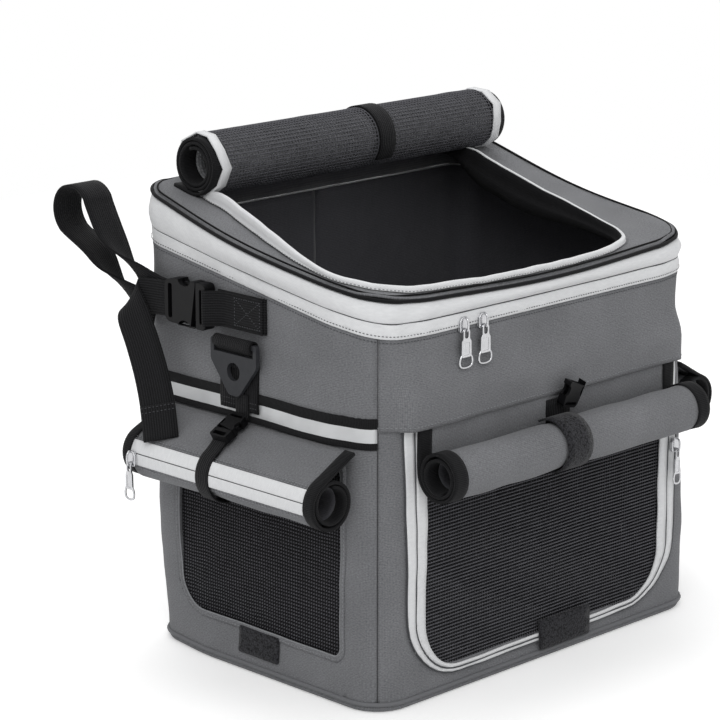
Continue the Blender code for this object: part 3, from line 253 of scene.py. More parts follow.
def plated(name, dark, light, roughness):
    """Bright nickel plate over cast zinc, with faint draw marks."""
    made, tree, shader = new_finish(name)
    place = add_node(tree, "ShaderNodeTexCoord").outputs["Object"]
    drawn = add_node(tree, "ShaderNodeVectorMath",
                     {0: place, 1: (1 / MARK_WIDTH, 1 / MARK_WIDTH, 1 / MARK_LENGTH)},
                     operation="MULTIPLY").outputs[0]
    marks = add_node(tree, "ShaderNodeTexNoise", {0: drawn, "Scale": 1.0, "Detail": 3.0}).outputs["Fac"]
    colour = add_node(tree, "ShaderNodeMix", {0: marks, 6: srgb(dark), 7: srgb(light)}, data_type="RGBA")
    rough = add_node(tree, "ShaderNodeMapRange", {0: marks, 3: roughness - 0.06, 4: roughness + 0.14})
    normal = add_node(tree, "ShaderNodeBump", {"Height": marks, "Distance": MARK_DEPTH, "Strength": 1.0})
    set_inputs(tree, shader, {
        "Base Color": colour.outputs[2], "Normal": normal.outputs[0], "Roughness": rough.outputs[0],
        "Metallic": 1.0})
    return made


# How much coarser the fluff is than the tufts, and how soon pile turns dark
FLUFF_SHARE = 0.7
PILE_CONTRAST = 2.2


def tufted(name, dark, light, size, depth, sheen):
    """Looped or brushed pile, such as fleece or the loop side of a fastener."""
    made, tree, shader = new_finish(name)
    place = add_node(tree, "ShaderNodeTexCoord").outputs["Object"]
    tufts = add_node(tree, "ShaderNodeTexVoronoi", {0: place, "Scale": 1 / size}).outputs["Distance"]
    fluff = add_node(tree, "ShaderNodeTexNoise", {
        0: place, "Scale": FLUFF_SHARE / size, "Detail": 4.0}).outputs["Fac"]
    pile = add_node(tree, "ShaderNodeMath", {0: tufts, 1: fluff}, operation="MULTIPLY").outputs[0]
    tone = add_node(tree, "ShaderNodeMath", {0: pile, 1: PILE_CONTRAST}, operation="MULTIPLY").outputs[0]
    colour = add_node(tree, "ShaderNodeMix", {0: tone, 6: srgb(light), 7: srgb(dark)}, data_type="RGBA")
    normal = add_node(tree, "ShaderNodeBump", {"Height": pile, "Distance": -depth, "Strength": 1.0})
    set_inputs(tree, shader, {
        "Base Color": colour.outputs[2], "Normal": normal.outputs[0], "Roughness": 0.95,
        "Sheen Weight": sheen, "Specular IOR Level": 0.15})
    return made


BEAD_SIZE = 0.9 * MM
BEAD_DEPTH = 0.05 * MM
SILVER_CHANGE = 25 * MM


def silvered(name, dark, light):
    """Retroreflective tape: glass beads on silver cloth, a soft pearly shine.

    Its beads, finer than 0.1 mm, are drawn 0.9 mm apart so that they show.
    """
    made, tree, shader = new_finish(name)
    uv = add_node(tree, "ShaderNodeTexCoord").outputs["UV"]
    beads = add_node(tree, "ShaderNodeTexVoronoi", {0: uv, "Scale": 1 / BEAD_SIZE}).outputs["Distance"]
    slow = add_node(tree, "ShaderNodeTexNoise",
                    {0: uv, "Scale": 1 / SILVER_CHANGE, "Detail": 2.0}).outputs["Fac"]
    colour = add_node(tree, "ShaderNodeMix", {0: slow, 6: srgb(dark), 7: srgb(light)}, data_type="RGBA")
    normal = add_node(tree, "ShaderNodeBump", {"Height": beads, "Distance": BEAD_DEPTH, "Strength": 1.0})
    set_inputs(tree, shader, {
        "Base Color": colour.outputs[2], "Normal": normal.outputs[0], "Roughness": 0.38, "Metallic": 0.25})
    return made


# Heathered 600-denier polyester: mid-grey, dull, with pale and dark flecks.
# Its 0.5 mm threads are drawn 1.1 mm apart so that they show.
CANVAS = woven("heathered_polyester", "3D3E41", "949598", 1.1 * MM, (1.6 * MM, 0.9 * MM), 0.85, 0.22 * MM)
# Thin black polyester lining: darker and smoother, with a soft sheen
LINING = woven("polyester_lining", "29292D", "4E4E53", 1.3 * MM, (2 * MM, 1 * MM), 0.6, 0.1 * MM, 0.25)
# Polyester zip tape, light grey, herringbone drawn 1.3 mm wide
ZIP_TAPE = woven("zip_tape", "CDCED0", "E4E5E6", 1.3 * MM, (5 * MM, 2 * MM), 0.5, 0.05 * MM, 0.15, 0.785)
# Black polypropylene webbing with ribs along it, 1.8 mm apart
WEBBING = ribbed("polypropylene_webbing", "040405", "202022", 1.8 * MM, 1.2 * MM, 0.7, 0.35 * MM)
# Black grosgrain binding: fine ribs across the tape
GROSGRAIN = ribbed("grosgrain_binding", "060607", "1D1D1F", 1.2 * MM, 1 * MM, 0.75, 0.2 * MM, False)
# Grey piping cord in its binding, between two dark lines
PIPING = ribbed("piping_cloth", "0E0E10", "2C2C2F", 1.4 * MM, 1 * MM, 0.7, 0.15 * MM, False)
# Knitted black mesh yarn, slightly shiny
MESH_YARN = moulded("mesh_yarn", "323235", "626267", 0.6, 0.5 * MM)
# The thinner yarns that tie the mesh's ribs, matt black
DARK_YARN = moulded("binding_yarn", "08080A", "161618", 0.8, 0.5 * MM)
# Black net cloth in layers, with pale specks painted on it for the light that comes through its holes
NET_LAYERS_PAINTED_LIGHT = woven("net_layers_painted_light", "0A0A0C", "B8B9BC", 2.9 * MM, (1.5 * MM, 1.5 * MM), 0.7, 0.4 * MM)
# Polyester sewing thread, grey on the canvas and black on the webbing
GREY_THREAD = moulded("grey_thread", "77787B", "97989B", 0.7, 0.4 * MM)
DARK_THREAD = moulded("dark_thread", "3A3B3D", "56575A", 0.7, 0.4 * MM)
# Silver reflective tape
REFLECTIVE = silvered("reflective_tape", "ACAEB0", "DCDDDE")
# Loop side of a hook-and-loop fastener: dull black pile
LOOP_PILE = tufted("loop_pile", "09090A", "3C3C40", 1.3 * MM, 0.6 * MM, 0.1)
# Short grey fleece on the floor cushion
FLEECE = tufted("short_fleece", "141416", "323236", 1.6 * MM, 1 * MM, 0.4)
# Moulded acetal buckles, black satin
ACETAL = moulded("acetal_buckle", "060607", "101012", 0.4, 0.35 * MM)
# Moulded nylon rings, dark grey satin
NYLON = moulded("nylon_ring", "26272A", "3B3C3F", 0.45, 0.4 * MM)
# Bright nickel plate on zip sliders and pullers
NICKEL = plated("nickel_plate", "9C9DA0", "DEDEE0", 0.2)


# Making and handing over pieces

def add_object(name, bm, finish):
    mesh = bpy.data.meshes.new(name)
    bm.to_mesh(mesh)
    bm.free()
    mesh.materials.append(finish)
    item = bpy.data.objects.new(name, mesh)
    bpy.context.collection.objects.link(item)
    return item


def hand_over(item, body, *nodes):
    """Tie a finished piece to its body, and hide the solids it stands for."""
    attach(item, body)
    if nodes:
        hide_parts(*nodes)
    return item


def thicken(item, thickness, offset=-1.0):
    solid = item.modifiers.new("Thickness", "SOLIDIFY")
    solid.thickness = thickness
    solid.offset = offset
    return item


def round_off(item, width, segments=2, angle=35):
    edge = item.modifiers.new("Round", "BEVEL")
    edge.width = width
    edge.segments = segments
    edge.limit_method = "ANGLE"
    edge.angle_limit = math.radians(angle)
    edge.harden_normals = True
    return item


def cut_by(item, cutter, operation="DIFFERENCE"):
    """Apply a boolean with a second object, which is then removed."""
    step = item.modifiers.new("Cut", "BOOLEAN")
    step.operation = operation
    step.object = cutter
    step.solver = "EXACT"
    made = item.evaluated_get(bpy.context.evaluated_depsgraph_get())
    mesh = bpy.data.meshes.new_from_object(made)
    item.modifiers.remove(step)
    item.data = mesh
    bpy.data.objects.remove(cutter)
    return item


def frame_at(origin, along, across):
    """Matrix whose X is along, Y is across and Z is their cross product."""
    x = Vector(along).normalized()
    z = x.cross(Vector(across)).normalized()
    y = z.cross(x)
    return Matrix.Translation(Vector(origin)) @ Matrix((x, y, z)).transposed().to_4x4()


def ease(value):
    """Smooth step from 0 to 1."""
    value = min(1.0, max(0.0, value))
    return value * value * (3 - 2 * value)


def ripple(u, v, length, seed=0.0):
    """Smooth unevenness between about -1 and 1 over a length in metres."""
    return 2 * noise.noise(Vector((u / length, v / length, seed)))


def densify(points, spacing, closed):
    """Points added along an outline so that none are further apart."""
    points = [Vector(p) for p in points]
    ends = points[1:] + points[:1] if closed else points[1:]
    dense = []
    for here, there in zip(points, ends):
        count = max(1, math.ceil((there - here).length / spacing - 0.001))
        dense += [here.lerp(there, i / count) for i in range(count)]
    return dense if closed else dense + [points[-1]]


def fillet(points, radii, steps=10):
    """Round each corner of a closed outline with its own radius."""
    rounded = []
    for i, (corner, radius) in enumerate(zip(points, radii)):
        corner = Vector(corner)
        before = (Vector(points[i - 1]) - corner).normalized()
        after = (Vector(points[(i + 1) % len(points)]) - corner).normalized()
        if radius == 0:
            rounded.append(corner)
            continue
        half = before.angle(after) / 2
        centre = corner + (before + after).normalized() * radius / math.sin(half)
        start = corner + before * radius / math.tan(half) - centre
        end = corner + after * radius / math.tan(half) - centre
        first = math.atan2(start.y, start.x)
        turn = (math.atan2(end.y, end.x) - first + math.pi) % (2 * math.pi) - math.pi
        for step in range(steps + 1):
            angle = first + turn * step / steps
            rounded.append(centre + radius * Vector((math.cos(angle), math.sin(angle))))
    return rounded


def box_outline(low, high, radii):
    """Rounded rectangle, its radii from the low corner anticlockwise."""
    return fillet([(low[0], low[1]), (high[0], low[1]), (high[0], high[1]), (low[0], high[1])], radii)


def inside(points, loops):
    """Which points lie within the first loop and outside the others."""
    x, y = points[:, 0], points[:, 1]
    found = np.zeros(len(points), bool)
    for loop in loops:
        for here, there in zip(loop, loop[1:] + loop[:1]):
            if here.y == there.y:
                continue
            crosses = (here.y > y) != (there.y > y)
            found ^= crosses & (x < here.x + (y - here.y) * (there.x - here.x) / (there.y - here.y))
    return found


def cut_sheet(name, loops, place, thickness, finish, spacing=6 * MM, creases=(), offset=-1.0):
    """Cloth cut flat along loops, an edge and then holes, and laid by place."""
    loops = [densify(loop, spacing, True) for loop in loops]
    flat = []
    edges = []
    for loop in loops:
        first = len(flat)
        flat += loop
        edges += [(first + i, first + (i + 1) % len(loop)) for i in range(len(loop))]
    for crease in creases:
        line = densify(crease, spacing, False)
        first = len(flat)
        flat += line
        edges += [(first + i, first + i + 1) for i in range(len(line) - 1)]
    fixed = np.array([tuple(p) for p in flat])
    low, high = fixed.min(0), fixed.max(0)
    columns, rows = [np.arange(low[k] + spacing / 2, high[k], spacing) for k in (0, 1)]
    loose = np.array([(x, y) for x in columns for y in rows]).reshape(-1, 2)
    if len(loose):
        gaps = np.linalg.norm(loose[:, None] - fixed[None], axis=2).min(1)
        loose = loose[inside(loose, loops) & (gaps > spacing * 0.45)]
        flat += [Vector(p) for p in loose]
    points, _, faces = delaunay_2d_cdt(flat, edges, [], 0, 1e-7)[:3]
    middles = np.array([tuple(sum((points[i] for i in face), Vector((0, 0))) / 3) for face in faces])
    kept = [face for face, good in zip(faces, inside(middles, loops)) if good]
    bm = bmesh.new()
    made = [bm.verts.new(place(p.x, p.y)) for p in points]
    uv = bm.loops.layers.uv.new("UVMap")
    for face in kept:
        a, b, c = [points[i] for i in face]
        if (b - a).cross(c - a) < 0:
            face = face[::-1]
        new = bm.faces.new([made[i] for i in face])
        new.smooth = True
        for corner, i in zip(new.loops, face):
            corner[uv].uv = points[i]
    bmesh.ops.remove_doubles(bm, verts=bm.verts, dist=0.05 * MM)
    bmesh.ops.delete(bm, geom=[v for v in bm.verts if not v.link_faces], context="VERTS")
    item = add_object(name, bm, finish)
    return thicken(item, thickness, offset) if thickness else item


def loft(name, rows, finish, thickness=0.0, offset=0.0, closed=False, ring=False, flip=False):
    """Skin through rows of points, with a UV map in metres along and across.

    A closed skin joins the ends of each row, and a ring joins the last row
    to the first.
    """
    count, length = len(rows), len(rows[0])
    middle = rows[count // 2]
    along = [0.0]
    for i in range(length):
        along.append(along[-1] + (middle[(i + 1) % length] - middle[i]).length)
    across = [0.0]
    for j in range(count):
        step = sum((b - a).length for a, b in zip(rows[j], rows[(j + 1) % count])) / length
        across.append(across[-1] + step)
    bm = bmesh.new()
    uv = bm.loops.layers.uv.new("UVMap")
    made = [[bm.verts.new(p) for p in row] for row in rows]
    for j in range(count if ring else count - 1):
        for i in range(length if closed else length - 1):
            corners = [(j, i), (j, i + 1), (j + 1, i + 1), (j + 1, i)]
            if flip:
                corners.reverse()
            face = bm.faces.new([made[a % count][b % length] for a, b in corners])
            face.smooth = True
            for corner, (a, b) in zip(face.loops, corners):
                corner[uv].uv = (along[b], across[a])
    item = add_object(name, bm, finish)
    return thicken(item, thickness, offset) if thickness else item


def prism(name, loops, depth, finish, place, start=0.0):
    """Flat outline with holes, extruded along Z of its frame."""
    flat = [Vector(p) for loop in loops for p in loop]
    edges = []
    first = 0
    for loop in loops:
        edges += [(first + i, first + (i + 1) % len(loop)) for i in range(len(loop))]
        first += len(loop)
    points, _, faces = delaunay_2d_cdt(flat, edges, [], 0, 1e-7)[:3]
    middles = np.array([tuple(sum((points[i] for i in face), Vector((0, 0))) / 3) for face in faces])
    bm = bmesh.new()
    made = [bm.verts.new((p.x, p.y, start)) for p in points]
    for face, good in zip(faces, inside(middles, [[Vector(p) for p in loop] for loop in loops])):
        if good:
            bm.faces.new([made[i] for i in face])
    pulled = bmesh.ops.extrude_face_region(bm, geom=list(bm.faces))
    moved = [v for v in pulled["geom"] if isinstance(v, bmesh.types.BMVert)]
    bmesh.ops.translate(bm, vec=(0, 0, depth), verts=moved)
    bmesh.ops.dissolve_limit(bm, angle_limit=0.001, verts=bm.verts, edges=bm.edges)
    bmesh.ops.recalc_face_normals(bm, faces=bm.faces)
    bm.transform(place)
    return add_object(name, bm, finish)


# Trees of geometry nodes

def start_tree(name, sizes):
    """New geometry tree with a guide, named sizes and a finish as inputs."""
    tree = bpy.data.node_groups.new(name, "GeometryNodeTree")
    tree.interface.new_socket("Geometry", in_out="INPUT", socket_type="NodeSocketGeometry")
    for size, kind in sizes.items():
        tree.interface.new_socket(size, in_out="INPUT", socket_type=kind)
    tree.interface.new_socket("Finish", in_out="INPUT", socket_type="NodeSocketMaterial")
    tree.interface.new_socket("Geometry", in_out="OUTPUT", socket_type="NodeSocketGeometry")
    return tree, add_node(tree, "NodeGroupInput").outputs


def end_tree(tree, geometry, finish):
    real = add_node(tree, "GeometryNodeRealizeInstances", {0: geometry})
    smooth = add_node(tree, "GeometryNodeSetShadeSmooth", {0: real.outputs[0]})
    painted = add_node(tree, "GeometryNodeSetMaterial", {0: smooth.outputs[0], "Material": finish})
    add_node(tree, "NodeGroupOutput", {0: painted.outputs[0]})
    return tree


def stitch_tree():
    """Stitches of one length, a pitch apart along the guide's lines."""
    sizes = {"Pitch": "NodeSocketFloat", "Length": "NodeSocketFloat", "Radius": "NodeSocketFloat"}
    tree, given = start_tree("sewn_stitches", sizes)
    line = add_node(tree, "GeometryNodeMeshToCurve", {0: given["Geometry"]})
    spots = add_node(tree, "GeometryNodeCurveToPoints", {0: line.outputs[0], "Length": given["Pitch"]},
                     mode="LENGTH")
    thread = add_node(tree, "GeometryNodeMeshIcoSphere", {"Radius": 1.0, "Subdivisions": 1})
    half = add_node(tree, "ShaderNodeMath", {0: given["Length"], 1: 0.5}, operation="MULTIPLY")
    scale = add_node(tree, "ShaderNodeCombineXYZ",
                     {0: given["Radius"], 1: given["Radius"], 2: half.outputs[0]})
    rows = add_node(tree, "GeometryNodeInstanceOnPoints", {
        "Points": spots.outputs["Points"], "Instance": thread.outputs["Mesh"],
        "Rotation": spots.outputs["Rotation"], "Scale": scale.outputs[0]})
    return end_tree(tree, rows.outputs[0], given["Finish"])


def yarn_tree():
    """Round yarn, cord or wire along the guide's lines."""
    tree, given = start_tree("round_yarn", {"Radius": "NodeSocketFloat", "Sides": "NodeSocketInt"})
    line = add_node(tree, "GeometryNodeMeshToCurve", {0: given["Geometry"]})
    ring = add_node(tree, "GeometryNodeCurvePrimitiveCircle", {
        "Resolution": given["Sides"], "Radius": given["Radius"]}, mode="RADIUS")
    tube = add_node(tree, "GeometryNodeCurveToMesh", {
        "Curve": line.outputs[0], "Profile Curve": ring.outputs[0], "Fill Caps": True})
    return end_tree(tree, tube.outputs[0], given["Finish"])


STITCHES = stitch_tree()
YARN = yarn_tree()


def grow(name, lines, tree, closed=False, **values):
    """Run a tree on polylines and keep the result as a plain mesh."""
    bm = bmesh.new()
    for line in lines:
        made = [bm.verts.new(p) for p in line]
        for here, there in zip(made, made[1:] + (made[:1] if closed else [])):
            bm.edges.new((here, there))
    guide = add_object(name + "_guide", bm, values["Finish"])
    run = guide.modifiers.new("Grow", "NODES")
    run.node_group = tree
    for item in tree.interface.items_tree:
        if item.in_out == "INPUT" and item.name in values:
            run[item.identifier] = values[item.name]
    evaluated = guide.evaluated_get(bpy.context.evaluated_depsgraph_get())
    mesh = bpy.data.meshes.new_from_object(evaluated)
    mesh.materials.clear()
    mesh.materials.append(values["Finish"])
    mesh.polygons.foreach_set("material_index", [0] * len(mesh.polygons))
    item = bpy.data.objects.new(name, mesh)
    bpy.context.collection.objects.link(item)
    guide.modifiers.remove(run)
    bpy.data.objects.remove(guide)
    return item


STITCH_PITCH = 3.1 * MM
STITCH_LENGTH = 2.3 * MM
STITCH_RADIUS = 0.32 * MM


def sew(name, lines, body, finish=GREY_THREAD, pitch=STITCH_PITCH):
    """Rows of stitches along polylines, as one piece on one body."""
    item = grow(name, lines, STITCHES, Pitch=pitch, Length=pitch * STITCH_LENGTH / STITCH_PITCH,
                Radius=STITCH_RADIUS, Finish=finish)
    return hand_over(item, body)


# Shape of the body

class Plan:
    """Rounded outline of the body, measured both ways from the front's middle."""

    def __init__(self, half_x, half_y, radius):
        self.half_x = half_x
        self.half_y = half_y
        self.radius = radius
        self.front = half_x - radius
        self.corner = radius * math.pi / 2
        self.side = 2 * (half_y - radius)
        self.half = 2 * self.front + 2 * self.corner + self.side

    def at(self, distance):
        """Point and outward direction at a signed distance."""
        way = -1 if distance < 0 else 1
        left = abs(distance) - self.front
        flank = self.half_y - self.radius
        if left < 0:
            point, out = (abs(distance), -self.half_y), (0, -1)
        elif left < self.corner:
            out = (math.sin(left / self.radius), -math.cos(left / self.radius))
            point = (self.front + self.radius * out[0], -flank + self.radius * out[1])
        elif left < self.corner + self.side:
            point, out = (self.half_x, left - self.corner - flank), (1, 0)
        elif left < 2 * self.corner + self.side:
            angle = (left - self.corner - self.side) / self.radius
            out = (math.cos(angle), math.sin(angle))
            point = (self.front + self.radius * out[0], flank + self.radius * out[1])
        else:
            point, out = (self.half - abs(distance), self.half_y), (0, 1)
        return Vector((way * point[0], point[1], 0)), Vector((way * out[0], out[1], 0))

    def beside(self, side, y):
        """Distance of the place on a side face at a Y."""
        return side * (self.front + self.corner + y + self.half_y - self.radius)


PLAN = Plan(HALF_X, HALF_Y, CORNER_RADIUS)
FRONT_SEAM = PLAN.front + PLAN.corner / 2
BACK_SEAM = FRONT_SEAM + PLAN.side + PLAN.corner
SEAMS = (FRONT_SEAM, BACK_SEAM)
SEAM_DEPTH = 0.9 * MM
SEAM_REACH = 1.6 * MM
WINDOW_SEAM_MARGIN = 3 * MM
WINDOW_SEAM = abs(PLAN.beside(1, WINDOW_FRONT - WINDOW_SEAM_MARGIN))
WINDOW_SEAM_SHARE = 0.5

# Unevenness of the wall cloth, which dies out near what holds it
WAVE = 1.3 * MM
WAVE_LENGTH = 70 * MM
WRINKLE_LENGTH = 22 * MM
HELD_REACH = 22 * MM

# How far the corners are pulled in: the front ones from a height upwards,
# the right one more, and the rear ones below a height
CORNER_PULL = 6.5 * MM
RIGHT_PULL = 1.5 * MM
CORNER_REACH = 48 * MM
CORNER_PULL_START = 100 * MM
CORNER_PULL_RISE = 130 * MM
REAR_PULL = 7 * MM
REAR_REACH = 70 * MM
REAR_PULL_HEIGHT = 110 * MM

# How full the cloth is above the zip, at the flanks and in front
LID_SWELL_LEFT = 13 * MM
LID_SWELL_FRONT = 6 * MM
LID_SWELL_RIGHT = -3 * MM
LID_SWELL_START = 4 * MM
LID_SWELL_RISE = 20 * MM
LID_SWELL_Y = 5 * MM
LID_SWELL_REACH = 135 * MM


def bump(value):
    """1 at 0, smoothly down to 0 at -1 and 1."""
    return math.cos(math.pi * min(1.0, abs(value)) / 2) ** 2


def swell(s, z):
    """How far the soft body stands out: rounder corners, fuller zip."""
    deep = CORNER_PULL + (RIGHT_PULL if s > 0 else 0)
    front = bump((abs(s) - FRONT_SEAM) / CORNER_REACH) * ease((z - CORNER_PULL_START) / CORNER_PULL_RISE)
    rear = bump((abs(s) - BACK_SEAM) / REAR_REACH) * ease((REAR_PULL_HEIGHT - z) / REAR_PULL_HEIGHT)
    pull = -deep * front - REAR_PULL * rear
    point = PLAN.at(s)[0]
    above = ease((z - TAPE_LINE(point.y) - LID_SWELL_START) / LID_SWELL_RISE)
    flank = bump((point.y - LID_SWELL_Y) / LID_SWELL_REACH) if abs(point.x) > PLAN.front else 0
    full = flank * (LID_SWELL_LEFT if s < 0 else LID_SWELL_RIGHT)
    if point.y < -HALF_Y + CORNER_RADIUS:
        full += LID_SWELL_FRONT * bump(point.x / HALF_X)
    return pull + above * full


def drape(s, z):
    """How far the wall cloth stands out from its flat place."""
    y = PLAN.at(s)[0].y
    edges = (BASE_TOP, SEAM_HEIGHT, TAPE_LINE(y))
    loose = ease(min(abs(z - edge) for edge in edges) / HELD_REACH)
    near = min(abs(abs(s) - seam) for seam in SEAMS)
    dip = -SEAM_DEPTH * (1 - ease(near / SEAM_REACH))
    if z < SEAM_HEIGHT:
        dip -= WINDOW_SEAM_SHARE * SEAM_DEPTH * (1 - ease(abs(abs(s) - WINDOW_SEAM) / SEAM_REACH))
    slack = ripple(s, z, WAVE_LENGTH) - 0.4 + 0.35 * ripple(s, z, WRINKLE_LENGTH, 3.0)
    return dip + WAVE * slack * loose + swell(s, z)


def on_body(s, z, out=0.0):
    """Point on the body's cloth, moved outwards by a distance."""
    point, normal = PLAN.at(s)
    return point + normal * (out + drape(s, z)) + Vector((0, 0, z))


def seam_lines(seams, low, top):
    """Flat lines up along each seam and its two shoulders, to a top."""
    places = [seam + shift for seam in seams for shift in (-SEAM_REACH, 0, SEAM_REACH)]
    return [[(s, low), (s, top(s))] for s in places]


def window_outline(side, margin=0.0):
    """Window in a side wall in the plane of the cloth, grown by a margin."""
    front = PLAN.beside(side, WINDOW_FRONT - margin)
    rear = PLAN.beside(side, WINDOW_REAR + margin)
    radii = [WINDOW_CORNER + margin, WINDOW_REAR_CORNER + margin, WINDOW_CORNER, WINDOW_CORNER]
    low, high = WINDOW_BOTTOM - margin, WINDOW_TOP + margin
    if side > 0:
        return box_outline((front, low), (rear, high), radii)
    outline = box_outline((-front, low), (-rear, high), radii)
    return [Vector((-p.x, p.y)) for p in outline][::-1]


def doorway(inset, top, lift=0.0):
    """U of the doorway, made smaller by an inset, its bottom raised."""
    half = DOOR_HALF - inset
    corner = DOOR_CORNER - inset
    low = DOOR_BOTTOM + inset + lift
    return box_outline((-half, low), (half, top), [corner, corner, DOOR_TOP_CORNER, DOOR_TOP_CORNER])


def make_walls():
    """Four walls of heathered polyester that meet in the rounded corners."""
    low = BASE_TOP + SEAT_GAP
    high = SEAM_HEIGHT - SEAT_GAP
    spans = {
        "front_wall": (-FRONT_SEAM, FRONT_SEAM),
        "right_wall": (FRONT_SEAM, BACK_SEAM),
        "left_wall": (-BACK_SEAM, -FRONT_SEAM),
        "back_wall": (BACK_SEAM, 2 * PLAN.half - BACK_SEAM),
    }
    for name, (first, last) in spans.items():
        ends = (first + SEAT_GAP / 2, last - SEAT_GAP / 2)
        loops = [[(ends[0], low), (ends[1], low), (ends[1], high), (ends[0], high)]]
        creases = [[(s, low), (s, high)] for s in (first + SEAM_REACH, last - SEAM_REACH)]
        if name == "front_wall":
            loops.append(doorway(-DOOR_CUT, DOOR_TOP, DOOR_LIP))
        elif name != "back_wall":
            side = 1 if name == "right_wall" else -1
            loops.append(window_outline(side))
            creases += seam_lines([side * WINDOW_SEAM], low, lambda s: high)
        item = cut_sheet(name + "_cloth", loops, lambda s, z: on_body(unwound(s), z), WALL, CANVAS,
                         creases=creases)
        hand_over(item, "body", name)


BASE_WELT_RADIUS = 1.6 * MM
BASE_WELT_RISE = 1.2 * MM
BASE_WELT_OUT = 0.4 * MM
# Edge of the base from below: outwards, and height
BASE_EDGE = ((-4 * MM, 0), (-1.2 * MM, 0.8 * MM), (0, 2.6 * MM), (0, BASE_TOP - 0.4 * MM),
             (-1 * MM, BASE_TOP))


def ring_at(height, out, count=160):
    """Closed row of points round the body at one height."""
    row = []
    for i in range(count):
        s = -PLAN.half + 2 * PLAN.half * i / count
        point, normal = PLAN.at(s)
        row.append(point + normal * (out + swell(s, height)) + Vector((0, 0, height)))
    return row


def make_base():
    """Board panel in cloth with a rounded edge and a sewn welt above it."""
    bm = bmesh.new()
    made = [[bm.verts.new(p) for p in ring_at(height, out)] for out, height in BASE_EDGE]
    for lower, upper in zip(made, made[1:]):
        for a, b, c, d in zip(lower, lower[1:] + lower[:1], upper[1:] + upper[:1], upper):
            bm.faces.new((a, b, c, d)).smooth = True
    bm.faces.new(made[0][::-1])
    bm.faces.new(made[-1])
    uv = bm.loops.layers.uv.new("UVMap")
    for face in bm.faces:
        for corner in face.loops:
            corner[uv].uv = corner.vert.co.xy + Vector((0, corner.vert.co.z))
    hand_over(add_object("base_board", bm, CANVAS), "body", "base_panel")
    line = [ring_at(BASE_TOP + BASE_WELT_RISE, BASE_WELT_OUT, 240)]
    welt = grow("base_welt", line, YARN, True, Radius=BASE_WELT_RADIUS, Sides=8, Finish=CANVAS)
    hand_over(welt, "body")


HEM_FRONT = 197 * MM
HEM_SIDE = 206 * MM
HEM_STITCH_RISE = 3 * MM
HEM_STITCH_OUT = 0.15 * MM
# How far the hem laps the walls, and how full it is over the door, with the
# heights below which each begins and the height in which it grows
HEM_LAP = 1.3 * MM
HEM_LAP_HEIGHT = 232 * MM
HEM_LAP_DROP = 14 * MM
HEM_FULLNESS = 4.9 * MM
HEM_FULLNESS_HEIGHT = 250 * MM
HEM_FULLNESS_DROP = 38 * MM
HEM_FULLNESS_HALF = 151 * MM
HEM_FULLNESS_FADE = 12 * MM
COLLAR_SPACING = 5 * MM


def unwound(s):
    """The same place round the body, as a distance that at() takes."""
    return s - 2 * PLAN.half if s > PLAN.half else s


def stations(first, last, step=6 * MM):
    """Even places from the first to the last, about a step apart."""
    count = max(2, round(abs(last - first) / step))
    return [first + (last - first) * i / count for i in range(count + 1)]


def collar_point(s, z):
    """Point on the collar, whose hem laps the walls and clears the door."""
    s = unwound(s)
    lap = HEM_LAP * ease((HEM_LAP_HEIGHT - z) / HEM_LAP_DROP)
    cover = ease((HEM_FULLNESS_HEIGHT - z) / HEM_FULLNESS_DROP)
    cover *= ease((HEM_FULLNESS_HALF - abs(s)) / HEM_FULLNESS_FADE)
    return on_body(s, z, lap + cover * (HEM_FULLNESS - swell(s, z)))


def collar_top(s):
    return TAPE_LINE(PLAN.at(unwound(s))[0].y) - SEAT_GAP


def collar_outline(first, last, hem):
    """Closed outline of a stretch of the collar above its hem."""
    stretch = stations(first, last)
    return [(s, hem) for s in stretch] + [(s, collar_top(s)) for s in reversed(stretch)]


def make_collar():
    """Upper cloth from the zip down to a hem over the walls and the door."""
    gap = SEAT_GAP / 2
    front = cut_sheet("collar_front", [collar_outline(-FRONT_SEAM + gap, FRONT_SEAM - gap, HEM_FRONT)],
                      collar_point, COLLAR, CANVAS, COLLAR_SPACING)
    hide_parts("front_valance")
    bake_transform(front)

    outline = collar_outline(FRONT_SEAM + gap, 2 * PLAN.half - FRONT_SEAM - gap, HEM_SIDE)
    creases = seam_lines((BACK_SEAM, 2 * PLAN.half - BACK_SEAM), HEM_SIDE, collar_top)
    rest = cut_sheet("collar_cloth", [outline], collar_point, COLLAR, CANVAS, creases=creases)
    hand_over(rest, "body", "collar")
    hem = [collar_point(s, HEM_FRONT + HEM_STITCH_RISE) for s in stations(-FRONT_SEAM, FRONT_SEAM, 4 * MM)]
    hem = [p - Vector((0, HEM_STITCH_OUT, 0)) for p in hem]
    sew("hem_stitches", [hem], "front_door")


LINING_DEPTH = WALL + 1.6 * MM
LINING_SLACK = 0.9 * MM
LINING_TOP_DROP = 0.6 * MM
LINING_DOOR_MARGIN = 2 * MM
LINING_POINTS = 120


def make_lining():
    """Black lining with the windows and the doorway left open."""
    def lay(s, z):
        slack = LINING_SLACK * (abs(ripple(s, z, 60 * MM, 7.0)) + 0.6 * abs(ripple(s, z, 18 * MM, 9.0)))
        point, normal = PLAN.at(s)
        return point + normal * (swell(s, z) - LINING_DEPTH - slack) + Vector((0, 0, z))

    places = np.linspace(-PLAN.half, PLAN.half, LINING_POINTS + 1)
    lower = [(s, BASE_TOP + SEAT_GAP) for s in places]
    upper = [(s, ZIP_LINE(PLAN.at(s)[0].y) - LINING_TOP_DROP) for s in places[::-1]]
    holes = [window_outline(side) for side in (-1, 1)] + [doorway(-LINING_DOOR_MARGIN, DOOR_TOP)]
    item = cut_sheet("lining_cloth", [lower + upper] + holes, lay, THIN_LINING, LINING)
    hand_over(item, "body", "lining")


BAND_POINTS = 240

